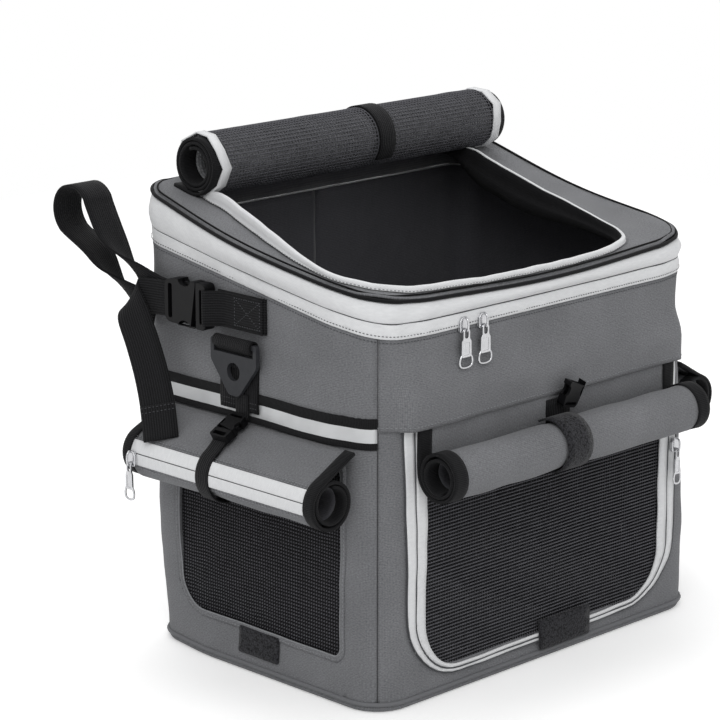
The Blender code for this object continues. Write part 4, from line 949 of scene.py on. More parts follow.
# How far the lid sags at its right and at its front, each from a place on,
# over a reach, and as far as a half width
SAG_RIGHT = 5 * MM
SAG_RIGHT_START = 40 * MM
SAG_RIGHT_REACH = 110 * MM
SAG_RIGHT_HALF = 125 * MM
SAG_FRONT = 2.5 * MM
SAG_FRONT_START = -50 * MM
SAG_FRONT_REACH = 60 * MM
LID_INSET = 2.5 * MM


def lid_dip(x, y):
    """How far the soft lid sags below its plane."""
    right = SAG_RIGHT * ease((x - SAG_RIGHT_START) / SAG_RIGHT_REACH) * bump(y / SAG_RIGHT_HALF)
    front = SAG_FRONT * ease((SAG_FRONT_START - y) / SAG_FRONT_REACH) * bump(x / HALF_X)
    return right + front


def lid_edge(s, out=0.0, rise=0.0):
    """Point on the sewn edge of the lid."""
    point, normal = PLAN.at(s)
    point = point + normal * (out + swell(s, PIPING_LINE(point.y)) - LID_INSET)
    return point + Vector((0, 0, PIPING_LINE(point.y) - lid_dip(point.x, point.y) + rise))


PUCKER_REACH = 60 * MM
PUCKER_LENGTH = 12 * MM
PUCKER_HEIGHT = 8 * MM
BAND_WAVE_LENGTH = 60 * MM


def band_rows(low, high, out, crown, shares, wave=0.0):
    """Closed rows of a band round the body, crowned outwards at its middle.

    low and high give a point on each edge at a distance. The band is
    puckered, most at the front corners.
    """
    rows = []
    for share in shares:
        row = []
        for i in range(BAND_POINTS):
            s = -PLAN.half + 2 * PLAN.half * i / BAND_POINTS
            near_corner = 1 + 1.5 * bump((abs(s) - FRONT_SEAM) / PUCKER_REACH)
            pucker = wave * near_corner * ripple(s, share * PUCKER_HEIGHT, PUCKER_LENGTH, 5.0)
            pucker += 1.6 * wave * ripple(s, 0, BAND_WAVE_LENGTH, 2.0)
            reach = out + (crown + pucker) * 4 * share * (1 - share)
            row.append(low(s).lerp(high(s), share) + PLAN.at(s)[1] * reach)
        rows.append(row)
    return rows


def level(line, rise):
    """Edge of a band on the body, at a height line moved by a rise."""
    def at(s):
        y = PLAN.at(s)[0].y
        return on_body(s, line(y) + rise)
    return at


BAND_OUT = 0.6 * MM
BAND_WAVE = 0.6 * MM
TAPE_LAP = 1 * MM
TAPE_CROWN = 0.5 * MM
ZIP_HALF_GAP = 0.4 * MM
SKIRT_CROWN = 3 * MM
SKIRT_TOP_DROP = 1 * MM
LID_LINING_OUT = -1.8 * MM
LID_LINING_CROWN = -0.6 * MM
LID_LINING_RISE = 0.8 * MM
LID_LINING_DROP = 1.5 * MM
LID_LINING_WAVE = 0.4 * MM
COIL_RADIUS = 0.4 * MM
COIL_OUT = -0.1 * MM
BAND_STITCH_PITCH = 2.6 * MM
# Stitches along the tape's foot and below it: rise over the foot, and outwards
BAND_STITCHES = {"zip_lower_stitches": (1.2 * MM, 1.4 * MM), "collar_top_stitches": (-3.5 * MM, 0.2 * MM)}


def make_zip_bands():
    """Pale tape on the body, the lid's skirt above it, and the zip between."""
    lower = band_rows(level(TAPE_LINE, -TAPE_LAP), level(ZIP_LINE, -ZIP_HALF_GAP), BAND_OUT, TAPE_CROWN,
                      (0, 0.08, 0.3, 0.55, 0.8, 0.94, 1), BAND_WAVE)
    hand_over(loft("zip_tape_body", lower, ZIP_TAPE, TAPE, -1, True), "body", "body_zip_tape")
    upper = band_rows(level(ZIP_LINE, ZIP_HALF_GAP), lambda s: lid_edge(s, 0, -SKIRT_TOP_DROP), BAND_OUT,
                      SKIRT_CROWN, (0, 0.06, 0.2, 0.4, 0.6, 0.8, 0.94, 1), BAND_WAVE)
    hand_over(loft("lid_skirt_tape", upper, ZIP_TAPE, TAPE, -1, True), "lid", "lid_skirt")
    inner = band_rows(level(ZIP_LINE, LID_LINING_RISE), lambda s: lid_edge(s, 0, -LID_LINING_DROP),
                      LID_LINING_OUT, LID_LINING_CROWN, (0, 0.5, 1), LID_LINING_WAVE)
    hand_over(loft("lid_lining", inner, LINING, THIN_LINING, -1, True), "lid")
    zip_line = level(ZIP_LINE, 0)
    coil = band_rows(zip_line, zip_line, COIL_OUT, 0, (0,))
    item = grow("zip_coil", coil, YARN, True, Radius=COIL_RADIUS, Sides=6, Finish=DARK_THREAD)
    hand_over(item, "body")
    for name, (rise, out) in BAND_STITCHES.items():
        edge = level(TAPE_LINE, rise)
        row = band_rows(edge, edge, out, 0, (0,))[0]
        sew(name, [row + row[:1]], "body", DARK_THREAD, BAND_STITCH_PITCH)


# Lid

# Foot of the rim in plan, clockwise from the rear left, in mm
RIM_POINTS = (
    (-136, 100), (-144, 81), (-149, 50), (-157, 12), (-163, -24), (-165, -55), (-162, -80), (-153, -98),
    (-136, -107), (-112, -113), (-60, -116), (0, -117), (48, -116), (78, -114), (94, -108), (103, -97),
    (107, -80), (108, -50), (110, -20), (114, 30), (121, 75), (110, 98), (60, 102), (-60, 103), (-112, 103),
)


def closed_spline(points, count):
    """Closed smooth outline through points, in even steps."""
    points = [Vector(p) for p in points]
    wrapped = points[-2:] + points + points[:2]
    curve = spline(wrapped, 6)
    return even(curve[12:12 + 6 * len(points)], count)


LID_CLOTH = 1.6 * MM
LID_WAVE = 0.7 * MM
LID_WRINKLE = 0.25 * MM
# The top's edge is rounded over these widths, from outside the plain box
LID_SIDE_OVER = 6 * MM
LID_SIDE_ROUND = 20 * MM
LID_END_OVER = 5 * MM
LID_END_ROUND = 12 * MM


def lid_point(x, y, rise=0.0):
    """Point on the top of the soft lid."""
    slack = LID_WAVE * ripple(x, y, 45 * MM, 4.0) + LID_WRINKLE * ripple(x, y, 14 * MM, 6.0)
    edge = min(1.0, (HALF_X + LID_SIDE_OVER - abs(x)) / LID_SIDE_ROUND,
               (HALF_Y + LID_END_OVER - abs(y)) / LID_END_ROUND)
    z = PIPING_LINE(y) - lid_dip(x, y) + LID_THICKNESS * ease(edge) + slack * ease(edge) + rise
    return Vector((x, y, z))


RIM_COUNT = 180
RIM_CLOTH = 0.7 * MM
RIM_FOLD = 0.5 * MM
# Profiles of the rim's pale outside and black inside, as steps inwards and
# heights in mm
RIM_OUTSIDE = ((-0.6, 0.3), (0, 1), (0.2, 4), (0.4, 7.8), (0.9, 8.6), (1.6, 8.8), (2.2, 8.2))
RIM_INSIDE = ((2, 8.3), (2.5, 7.4), (2.6, 4), (2.6, 0), (2.8, -6), (3.6, -6.6), (2.6, -10), (2, -16))
# The rim stands higher towards the rear, and lower again under the roll
RIM_LOW_SHARE = 0.42
RIM_RISE_SHARE = 0.65
RIM_UNEVEN_SHARE = 0.12
RIM_UNDER_ROLL_SHARE = 0.7
RIM_RISE_START = -85 * MM
RIM_RISE_REACH = 110 * MM
RIM_UNDER_ROLL_START = 55 * MM
RIM_UNDER_ROLL_REACH = 35 * MM
RIM_STITCH_RISE = 1.4 * MM
RIM_STITCH_OUT = 1.6 * MM
RIM_STITCH_PITCH = 2.8 * MM
# Cords at the lid's edge: radius, outwards, rise, finish and the solid
LID_CORDS = {
    "lid_piping_cord": (1.3 * MM, 1.2 * MM, 0.6 * MM, PIPING, ["lid_piping"]),
    "lid_top_cord": (0.7 * MM, -2.8 * MM, 2.9 * MM, GROSGRAIN, []),
}


def rim_share(i, y):
    """How tall the rim is at a point, as a share of its profile."""
    share = RIM_UNEVEN_SHARE * noise.noise(Vector((i / 22, 3, 0))) + RIM_LOW_SHARE
    share += RIM_RISE_SHARE * ease((y - RIM_RISE_START) / RIM_RISE_REACH)
    return share * (1 - RIM_UNDER_ROLL_SHARE * ease((y - RIM_UNDER_ROLL_START) / RIM_UNDER_ROLL_REACH))


def make_rim(name, rim, inward, profile, finish, *nodes):
    """One cloth of the opening's rim, with small folds."""
    rows = []
    for inwards, height in profile:
        row = []
        for i, (p, way) in enumerate(zip(rim, inward)):
            fold = RIM_FOLD * ripple(i * 5 * MM, height * MM, 18 * MM, 14.0)
            shift = way * (inwards * MM + fold)
            row.append(lid_point(p.x, p.y, height * MM * rim_share(i, p.y)) + shift.to_3d())
        rows.append(row)
    hand_over(loft(name, rows, finish, RIM_CLOTH, -1, True, flip=True), "lid", *nodes)


def make_lid():
    """Sloping panel with its standing rim and two rows of piping."""
    rim = closed_spline([(x * MM, y * MM) for x, y in RIM_POINTS], RIM_COUNT)
    outer = [lid_edge(s).to_2d() for s in np.linspace(-PLAN.half, PLAN.half, 121)[:-1]]
    item = cut_sheet("lid_cloth", [outer, rim], lid_point, LID_CLOTH, CANVAS)
    hand_over(item, "lid", "lid_panel")

    inward = []
    for before, after in zip(rim[-1:] + rim[:-1], rim[1:] + rim[:1]):
        along = (after - before).normalized()
        inward.append(Vector((-along.y, along.x)))
    make_rim("rim_outside", rim, inward, RIM_OUTSIDE, ZIP_TAPE, "opening_rim")
    make_rim("rim_inside", rim, inward, RIM_INSIDE, GROSGRAIN)
    foot = [lid_point(p.x, p.y, RIM_STITCH_RISE) - (way * RIM_STITCH_OUT).to_3d()
            for p, way in zip(rim, inward)]
    sew("rim_stitches", [foot + foot[:1]], "lid", GREY_THREAD, RIM_STITCH_PITCH)

    places = np.linspace(-PLAN.half, PLAN.half, 261)[:-1]
    for name, (radius, out, rise, finish, nodes) in LID_CORDS.items():
        line = [lid_edge(s, out, rise) for s in places]
        cord = grow(name, [line], YARN, True, Radius=radius, Sides=10, Finish=finish)
        hand_over(cord, "lid", *nodes)


def even(loop, count):
    """A closed outline resampled to a number of even steps."""
    ends = loop[1:] + loop[:1]
    lengths = [(b - a).length for a, b in zip(loop, ends)]
    total = sum(lengths)
    points = []
    i = 0
    passed = 0.0
    for k in range(count):
        target = total * k / count
        while passed + lengths[i] < target:
            passed += lengths[i]
            i += 1
        points.append(loop[i].lerp(ends[i], (target - passed) / lengths[i]))
    return points


# Rolled covers

ROLL_PITCH = 3.1 * MM
ROLL_STEPS = 40


def arc(centre, radius, first, sweep, steps, shrink=0.0):
    """Points round a centre, with the unit directions away from it."""
    points = []
    for i in range(steps + 1):
        turned = sweep * i / steps
        angle = math.radians(first + turned)
        out = Vector((math.cos(angle), math.sin(angle)))
        points.append((Vector(centre) + out * (radius - shrink * abs(turned) / 360), out))
    return points


# How deep a tie presses into a roll, and how far along it that shows
SQUEEZE_DEPTH = 1.4 * MM
SQUEEZE_REACH = 13 * MM
SLACK_LENGTH = 30 * MM


def rolled(name, profile, places, section, thickness, finish, slack=0.0, squeeze=None, seed=0.0, widen=0.0):
    """Sheet rolled along a profile of points and outward directions.

    It spans the places along Z of its section. squeeze is where a tie
    presses into it.
    """
    rows = []
    for along in places:
        row = []
        length = 0.0
        before = profile[0][0]
        for point, out in profile:
            length += (point - before).length
            before = point
            loose = slack * (ripple(length, along, SLACK_LENGTH, seed) - 0.3)
            if squeeze:
                loose -= SQUEEZE_DEPTH * math.exp(-((along - squeeze) / SQUEEZE_REACH) ** 2)
            moved = point + out * (loose + widen)
            row.append(section @ Vector((moved.x, moved.y, along)))
        rows.append(row)
    return loft(name, rows, finish, thickness, 0.0)


def across_section(section, path, half):
    """Rows of a band along a path of a section, as wide as two halves."""
    return [[section @ Vector((p[0], p[1], z)) for p in path] for z in stations(-half, half)]


# Cloth of the covers: the sheet, its black backing inside and its binding
SHEET = 1.5 * MM
SHEET_SLACK = 0.5 * MM
BACKING = 0.3 * MM
BACKING_DEPTH = 1.1 * MM
BINDING = 2.2 * MM
BINDING_SLACK = 0.7 * MM
BINDING_LIFT = 0.2 * MM
BINDING_STEP = 3 * MM
BINDING_WIDTH = 12 * MM

# Cover rolled up over the door: distance of its flap from the front, then
# its roll, its strap with where that starts and how far it goes in degrees
FRONT_LAYER = 2.8 * MM
FRONT_ROLL_RADIUS = 18 * MM
FRONT_ROLL_HEIGHT = 167 * MM
FRONT_ROLL_HALF = DOOR_HALF
FRONT_ROLL_TURNS = 2.3
FRONT_STRAP_X = -10 * MM
FRONT_STRAP_HALF = 12.5 * MM
FRONT_STRAP = 1.4 * MM
FRONT_STRAP_LIFT = 0.8 * MM
FRONT_STRAP_START = 122
FRONT_STRAP_SWEEP = -275
FRONT_CLIP_X = 8 * MM
STUB_X = 4 * MM
STUB = 1.2 * MM
STUB_REACH = FRONT_LAYER + 2.2 * MM
STUB_PATH = ((0, 194 * MM), (0.8 * MM, 189 * MM), (0.4 * MM, 184 * MM), (0, 176 * MM))
STRAP_THICKNESS = 1.2 * MM


def front_section(x=0.0):
    """Frame for profiles of the front roll: X forwards, Y up, Z against X."""
    return frame_at((x, -HALF_Y, 0), (0, -1, 0), (0, 0, 1))


def straight(first, last, out, step=6 * MM):
    """Points of a straight stretch with one outward direction."""
    line = densify([first, last], step, False)
    return [(p, Vector(out)) for p in line[:-1]]


def make_front_cover():
    """Door cover hanging from the seam and rolled up over the door."""
    centre = (FRONT_LAYER + FRONT_ROLL_RADIUS, FRONT_ROLL_HEIGHT)
    steps = round(FRONT_ROLL_TURNS * ROLL_STEPS)
    curl = arc(centre, FRONT_ROLL_RADIUS, 180, 360 * FRONT_ROLL_TURNS, steps, ROLL_PITCH)
    flap = straight((FRONT_LAYER, SEAM_HEIGHT - SEAT_GAP), (FRONT_LAYER, FRONT_ROLL_HEIGHT), (-1, 0))
    profile = flap + curl
    section = front_section()
    inner = FRONT_ROLL_HALF - BINDING_WIDTH
    item = rolled("front_cover", profile, stations(-inner, inner), section, SHEET, CANVAS, SHEET_SLACK,
                  -FRONT_STRAP_X, 1.0)
    hand_over(item, "front_door", "front_roll")
    item = rolled("front_cover_backing", curl, stations(-inner, inner), section, BACKING, LINING,
                  SHEET_SLACK, -FRONT_STRAP_X, 1.0, -BACKING_DEPTH)
    hand_over(item, "front_door")
    for name, way, nodes in (("right", -1, ["front_roll_binding"]), ("left", 1, [])):
        places = stations(way * inner, way * FRONT_ROLL_HALF, BINDING_STEP)
        item = rolled("front_cover_binding_" + name, profile, places, section, BINDING, GROSGRAIN,
                      BINDING_SLACK, None, 2.0, BINDING_LIFT)
        hand_over(item, "front_door", *nodes)

    wrap = [p for p, _ in arc(centre, FRONT_ROLL_RADIUS + FRONT_STRAP_LIFT, FRONT_STRAP_START,
                              FRONT_STRAP_SWEEP, 40)]
    rows = across_section(front_section(FRONT_STRAP_X), wrap, FRONT_STRAP_HALF)
    hand_over(loft("front_cover_strap", rows, LOOP_PILE, FRONT_STRAP), "front_door", "front_roll_strap")
    stub = [(STUB_REACH + out, height) for out, height in STUB_PATH]
    rows = across_section(front_section(STUB_X), stub, FRONT_STRAP_HALF)
    hand_over(loft("front_clip_webbing", rows, WEBBING, STUB), "front_door")


def threads(loops, pitch, place, axis):
    """Yarns across a flat outline, side by side along one axis."""
    outline = [Vector(p) for p in loops]
    places = [p[axis] for p in outline]
    lines = []
    at = min(places) + pitch / 2
    while at < max(places):
        cuts = []
        for here, there in zip(outline, outline[1:] + outline[:1]):
            a, b = here[axis], there[axis]
            if (a > at) != (b > at):
                cuts.append(here[1 - axis] + (there[1 - axis] - here[1 - axis]) * (at - a) / (b - a))
        cuts.sort()
        for first, last in zip(cuts[::2], cuts[1::2]):
            line = []
            for other in stations(first, last, 14 * MM):
                line.append(place(at, other) if axis == 0 else place(other, at))
            lines.append(line)
        at += pitch
    return lines


NET_PITCH = 2.5 * MM


def hang_net(name, outline, place, rib, upright, body, node):
    """Net of thick level ribs and thinner upright yarns, of two radii."""
    ribs = grow(name + "_ribs", threads(outline, NET_PITCH, place, 1), YARN, Radius=rib, Sides=5,
                Finish=MESH_YARN)
    hand_over(ribs, body, node)
    yarns = grow(name + "_yarns", threads(outline, NET_PITCH, place, 0), YARN, Radius=upright, Sides=6,
                 Finish=DARK_YARN)
    hand_over(yarns, body)


DOOR_NET_INSET = 2.2 * MM
DOOR_NET_DEPTH = 1.3 * MM
DOOR_NET_SLACK = 1.2 * MM
DOOR_RIB = 0.62 * MM
DOOR_UPRIGHT = 0.5 * MM
DOOR_BAND_TOP = SEAM_HEIGHT - 12 * MM
DOOR_BAND_CORNER = 0.5 * MM
# An inner outline ends this share of its inset lower, so that no two meet
DOOR_BAND_STEP_SHARE = 0.01
DOOR_TAPE_OUT = 2 * MM
WALL_TAPE_OUT = 1.8 * MM
DOOR_TAPE_WAVE = 0.3 * MM
DOOR_LINE_OUT = 1.5 * MM
DOOR_SPACING = 4 * MM
# Tapes and lines round the door, by their insets at the sides and below
DOOR_TAPE_EDGES = ((0.6 * MM, 0.6 * MM), (10 * MM, 2.8 * MM))
WALL_TAPE_EDGES = ((-8.6 * MM, -2.6 * MM), (-0.6 * MM, -0.6 * MM))
DOOR_LINES = {"door_zip_line": (0, 0, 0.7 * MM), "door_tape_welt": (-8.9 * MM, -2.9 * MM, 0.6 * MM)}
DOOR_PATCH = ((-8 * MM, 9 * MM), (45 * MM, 31 * MM))
DOOR_PATCH_OUT = 3.8 * MM
PATCH_CORNER = 1.5 * MM


def door_band(inset, bottom):
    """U round the door, its bottom moved up apart from its sides."""
    half = DOOR_HALF - inset
    corner = DOOR_CORNER - inset
    return box_outline((-half, DOOR_BOTTOM + bottom), (half, DOOR_BAND_TOP - inset * DOOR_BAND_STEP_SHARE),
                       [corner, corner, DOOR_BAND_CORNER, DOOR_BAND_CORNER])


def make_door():
    """Mesh door with its pale zip tapes, dark zip line and bottom patch."""
    def net(x, z):
        belly = math.sin(math.pi * (x + DOOR_HALF) / (2 * DOOR_HALF))
        slack = DOOR_NET_SLACK * belly * ripple(x, z, 90 * MM, 8.0)
        return Vector((x, -HALF_Y + DOOR_NET_DEPTH + abs(slack), z))

    hang_net("door_net", doorway(DOOR_NET_INSET, DOOR_TOP), net, DOOR_RIB, DOOR_UPRIGHT, "front_door",
             "front_door_net")

    def lay(out):
        return lambda x, z: on_body(x, z, out + DOOR_TAPE_WAVE * ripple(x, z, 25 * MM, 6.0))

    item = cut_sheet("door_zip_tape", [door_band(*edge) for edge in DOOR_TAPE_EDGES], lay(DOOR_TAPE_OUT),
                     TAPE, ZIP_TAPE, DOOR_SPACING)
    hand_over(item, "front_door", "front_door_tape")
    item = cut_sheet("wall_zip_tape", [door_band(*edge) for edge in WALL_TAPE_EDGES], lay(WALL_TAPE_OUT),
                     TAPE, ZIP_TAPE, DOOR_SPACING)
    hand_over(item, "body", "front_body_tape")
    for name, (inset, bottom, radius) in DOOR_LINES.items():
        loop = densify(door_band(inset, bottom), DOOR_SPACING, True)
        loop = [p for p in loop if p.y < DOOR_BAND_TOP - 1 * MM]
        start = max(range(len(loop)), key=lambda i: (loop[i] - loop[i - 1]).length)
        line = [on_body(p.x, p.y, DOOR_LINE_OUT) for p in loop[start:] + loop[:start]]
        hand_over(grow(name, [line], YARN, Radius=radius, Sides=6, Finish=DARK_THREAD), "body")

    patch = box_outline(*DOOR_PATCH, [PATCH_CORNER] * 4)
    item = cut_sheet("door_loop_patch", [patch], lambda x, z: on_body(x, z, DOOR_PATCH_OUT), PATCH,
                     LOOP_PILE)
    hand_over(item, "front_door")


# Sides

SIDE_ROLL_HALF = 100 * MM
SIDE_ROLL_REAR = 92 * MM
SIDE_BINDING = 9 * MM
SIDE_ROLL_RADIUS = 18 * MM
SIDE_ROLL_CENTRE = (22.5 * MM, 152 * MM)
SIDE_ROLL_TURNS = 1.9
SIDE_FLAP_START = (1.4 * MM, 183.7 * MM)
SIDE_STRAP_Y = 8 * MM
SIDE_TAPE = 0.6 * MM
SIDE_TAPE_LIFT = 1.2 * MM
SIDE_STITCH_LIFT = 1 * MM
# Zip tapes on a side roll, as start and sweep in degrees from where its flap
# meets it, and the angles of its rows of stitches
SIDE_TAPES = {"upper": (-22, -28), "lower": (-52, -24)}
SIDE_STITCH_ANGLES = (-14, -19, -79, -84)


def side_section(side, y=0.0):
    """Frame for profiles of a side roll: X outwards, Y up, Z across.

    Z points to the front on the right side, and to the rear on the left.
    """
    return frame_at((side * HALF_X, y, 0), (side, 0, 0), (0, 0, 1))


def side_profile():
    """Flap and curl of a side cover, and the flap's direction."""
    start = Vector(SIDE_FLAP_START)
    centre = Vector(SIDE_ROLL_CENTRE)
    towards = centre - start
    angle = math.atan2(towards.y, towards.x) + math.asin(SIDE_ROLL_RADIUS / towards.length)
    down = Vector((math.cos(angle), math.sin(angle)))
    out = Vector((-down.y, down.x))
    first = math.degrees(angle) + 90
    steps = round(SIDE_ROLL_TURNS * ROLL_STEPS)
    curl = arc(centre, SIDE_ROLL_RADIUS, first, -360 * SIDE_ROLL_TURNS, steps, ROLL_PITCH)
    flap = straight(start, curl[0][0], out)
    return flap + curl, start, down, out, first


def make_side_cover(side, label):
    """Side cover rolled up under the band, with zip tape and stitches."""
    profile, _, _, _, first = side_profile()
    section = side_section(side)
    seed = 11.0 + side
    ends = sorted((side * SIDE_ROLL_HALF, -side * SIDE_ROLL_REAR))
    inner = (ends[0] + SIDE_BINDING, ends[1] - SIDE_BINDING)
    item = rolled(label + "_cover", profile, stations(*inner), section, SHEET, CANVAS, SHEET_SLACK,
                  -side * SIDE_STRAP_Y, seed)
    hand_over(item, "body", label + "_roll")
    curl = profile[-round(SIDE_ROLL_TURNS * ROLL_STEPS):]
    item = rolled(label + "_cover_backing", curl, stations(*inner), section, BACKING, LINING, SHEET_SLACK,
                  -side * SIDE_STRAP_Y, seed, -BACKING_DEPTH)
    hand_over(item, "body")
    for number, edge in enumerate(zip(ends, inner)):
        places = stations(*sorted(edge), BINDING_STEP)
        item = rolled("%s_cover_binding_%d" % (label, number + 1), profile, places, section, BINDING,
                      GROSGRAIN, BINDING_SLACK, None, seed + 1, BINDING_LIFT)
        hand_over(item, "body", *([] if number else [label + "_roll_binding"]))

    for part, (angle, sweep) in SIDE_TAPES.items():
        strip = arc(SIDE_ROLL_CENTRE, SIDE_ROLL_RADIUS + SIDE_TAPE_LIFT, first + angle, sweep, 10)
        rows = [[section @ Vector((p.x, p.y, z)) for p, _ in strip] for z in stations(*inner)]
        hand_over(loft("%s_cover_tape_%s" % (label, part), rows, ZIP_TAPE, SIDE_TAPE), "body")
    lines = []
    for angle in SIDE_STITCH_ANGLES:
        spot = arc(SIDE_ROLL_CENTRE, SIDE_ROLL_RADIUS + SIDE_STITCH_LIFT, first + angle, 0, 1)[0][0]
        lines.append([section @ Vector((spot.x, spot.y, z)) for z in inner])
    sew(label + "_cover_stitches", lines, "body")


# Bands on a side from below, all in mm: lower and upper edge, how far they
# stand out, how much more their middle does, and their finish
SIDE_BANDS = {
    "reflective_tape": (188, 200, 0.9, 0.2, REFLECTIVE),
    "band_binding_upper": (199, 207, 1.1, 1, GROSGRAIN),
    "band_binding_lower": (184.6, 189.4, 1.1, 0.9, GROSGRAIN),
}
SIDE_BAND = 0.8 * MM
SIDE_BAND_WAVE = 0.72 * MM
WINDOW_HEM_OUT = 0.7 * MM
WINDOW_HEM_MARGINS = (3.5 * MM, -0.5 * MM)
WINDOW_EDGE_MARGIN = -0.6 * MM
WINDOW_EDGE_OUT = 0.3 * MM
WINDOW_EDGE_RADIUS = 0.55 * MM
WINDOW_STITCH_MARGIN = 2 * MM
WINDOW_STITCH_OUT = 0.8 * MM
WINDOW_NET_MARGIN = 4.5 * MM
WINDOW_NET_DEPTH = 3.8 * MM
WINDOW_NET_SLACK = 0.5 * MM
WINDOW_RIB = 0.9 * MM
WINDOW_UPRIGHT = 1.05 * MM
SIDE_PATCH_ENDS = (-23 * MM, 18 * MM)
SIDE_PATCH_HEIGHTS = (14 * MM, 33 * MM)
SIDE_PATCH_OUT = 1.4 * MM


def make_side_wall_trim(side, label):
    """Reflective band between two bindings, window hem, patch and net."""
    ends = (FRONT_SEAM + SEAT_GAP, BACK_SEAM - SEAT_GAP)
    for name, (low, high, reach, crown, finish) in SIDE_BANDS.items():
        rows = []
        for share in (0, 0.12, 0.5, 0.88, 1):
            z = (low + (high - low) * share) * MM
            out = (reach + crown * 4 * share * (1 - share)) * MM
            row = []
            for s in stations(*ends, 5 * MM):
                wave = SIDE_BAND_WAVE * ripple(s, 0, 60 * MM, 15.0 + side)
                row.append(on_body(side * s, z + wave, out))
            rows.append(row)
        nodes = [label + "_reflective_band"] if name == "reflective_tape" else []
        band = loft("%s_%s" % (label, name), rows, finish, SIDE_BAND, -1, flip=side < 0)
        hand_over(band, "body", *nodes)

    hem = cut_sheet(label + "_window_hem", [window_outline(side, margin) for margin in WINDOW_HEM_MARGINS],
                    lambda s, z: on_body(s, z, WINDOW_HEM_OUT), HEM, CANVAS, 4 * MM)
    hand_over(hem, "body")
    edge = densify(window_outline(side, WINDOW_EDGE_MARGIN), 6 * MM, True)
    edge = [on_body(p.x, p.y, WINDOW_EDGE_OUT) for p in edge]
    item = grow(label + "_window_edge", [edge], YARN, True, Radius=WINDOW_EDGE_RADIUS, Sides=6,
                Finish=GREY_THREAD)
    hand_over(item, "body")
    row = densify(window_outline(side, WINDOW_STITCH_MARGIN), 6 * MM, True)
    row = [on_body(p.x, p.y, WINDOW_STITCH_OUT) for p in row]
    sew(label + "_window_stitches", [row + row[:1]], "body")

    first, last = sorted(PLAN.beside(side, y) for y in SIDE_PATCH_ENDS)
    bottom, top = SIDE_PATCH_HEIGHTS
    patch = box_outline((first, bottom), (last, top), [PATCH_CORNER] * 4)
    item = cut_sheet(label + "_loop_patch", [patch], lambda s, z: on_body(s, z, SIDE_PATCH_OUT), PATCH,
                     LOOP_PILE)
    hand_over(item, "body")

    def net(s, z):
        point, normal = PLAN.at(s)
        lift = z + WINDOW_NET_SLACK * ripple(s, z, 18 * MM, 22.0)
        depth = WINDOW_NET_DEPTH + WINDOW_NET_SLACK * ripple(s, z, 60 * MM, 21.0)
        return point - normal * depth + Vector((0, 0, lift))

    hang_net(label + "_window_net", window_outline(side, WINDOW_NET_MARGIN), net, WINDOW_RIB,
             WINDOW_UPRIGHT, "body", label + "_window_net")


# Straps and webbing

def spline(points, steps=5):
    """Catmull-Rom curve through points."""
    points = [Vector(p) for p in points]
    ends = [points[0]] + points + [points[-1]]
    curve = []
    for a, b, c, d in zip(ends, ends[1:], ends[2:], ends[3:]):
        for step in range(steps):
            t = step / steps
            curve.append(0.5 * (2 * b + (c - a) * t + (2 * a - 5 * b + 4 * c - d) * t ** 2
                                + (3 * b - a - 3 * c + d) * t ** 3))
    curve.append(points[-1])
    return curve


def ribbon(name, middle, across, thickness, finish, lanes=5, cup=0.0):
    """Flat strap along a route, across being half its width at each point."""
    rows = []
    for lane in range(lanes):
        share = 2 * lane / (lanes - 1) - 1
        row = []
        for i, (point, half) in enumerate(zip(middle, across)):
            ahead = middle[min(i + 1, len(middle) - 1)] - middle[max(i - 1, 0)]
            out = ahead.cross(half).normalized()
            row.append(point + half * share + out * cup * share ** 2)
        rows.append(row)
    return loft(name, rows, finish, thickness, 0.0)


def flat_strap(name, section, path, width, thickness, finish, lanes=5, steps=5):
    """Strap that keeps to one plane, along a path in a section's frame."""
    curve = spline([Vector((p[0], p[1], 0)) for p in path], steps)
    middle = [section @ p for p in curve]
    half = section.to_3x3() @ Vector((0, 0, width / 2))
    return ribbon(name, middle, [half] * len(middle), thickness, finish, lanes)


WEB_WIDTH = 25 * MM
WEB_THICKNESS = 1.5 * MM
BUCKLE_MOUTH = (46 * MM, 262 * MM)
BUCKLE_LIFT = 2.1 * MM
BAR_Y = 155 * MM
BAR_HEIGHT = 316 * MM
LOOP_RADIUS = 18.5 * MM
LOOP_REACH = 19.5 * MM
LOOP_POINTS = 11
LOOP_START = 165
LOOP_STEP = 23

# Routes of a handlebar strap: up from the buckle, down from the
# loop to the wall, and the folded tail. Each point is a reach from the side,
# a place behind the buckle's mouth and a rise above it, with the way that
# the width points there.
STRAP_UP = (
    (7.1 * MM, 27 * MM, 0),
    (7.6 * MM, 44 * MM, 2 * MM),
    (11 * MM, 55 * MM, 10 * MM),
    (16.5 * MM, 67 * MM, 23 * MM),
    (19.5 * MM, 79 * MM, 39 * MM),
)
STRAP_UP_WIDTH = ((0, 0, 1), (0, -0.1, 1), (0.35, -0.2, 0.9), (0.8, -0.2, 0.5), (1, 0, 0.1))
STRAP_RETURN = (
    (19.5 * MM, 95 * MM, 27 * MM),
    (17 * MM, 81 * MM, 9 * MM),
    (9 * MM, 66 * MM, -6 * MM),
    (2.4 * MM, 52 * MM, -12 * MM),
)
STRAP_RETURN_WIDTH = ((1, 0, 0), (0.8, 0, 0.5), (0.35, -0.2, 0.9), (0, -0.3, 1))
STRAP_TAIL = (
    (9.5 * MM, 29 * MM, 0),
    (13 * MM, 46 * MM, 0),
    (18 * MM, 56 * MM, 0),
    (19.5 * MM, 59.5 * MM, -4 * MM),
    (21.5 * MM, 54 * MM, -15 * MM),
    (22.5 * MM, 44 * MM, -32 * MM),
    (24.5 * MM, 33 * MM, -52 * MM),
    (28 * MM, 23 * MM, -72 * MM),
    (34.5 * MM, 12 * MM, -94 * MM),
)
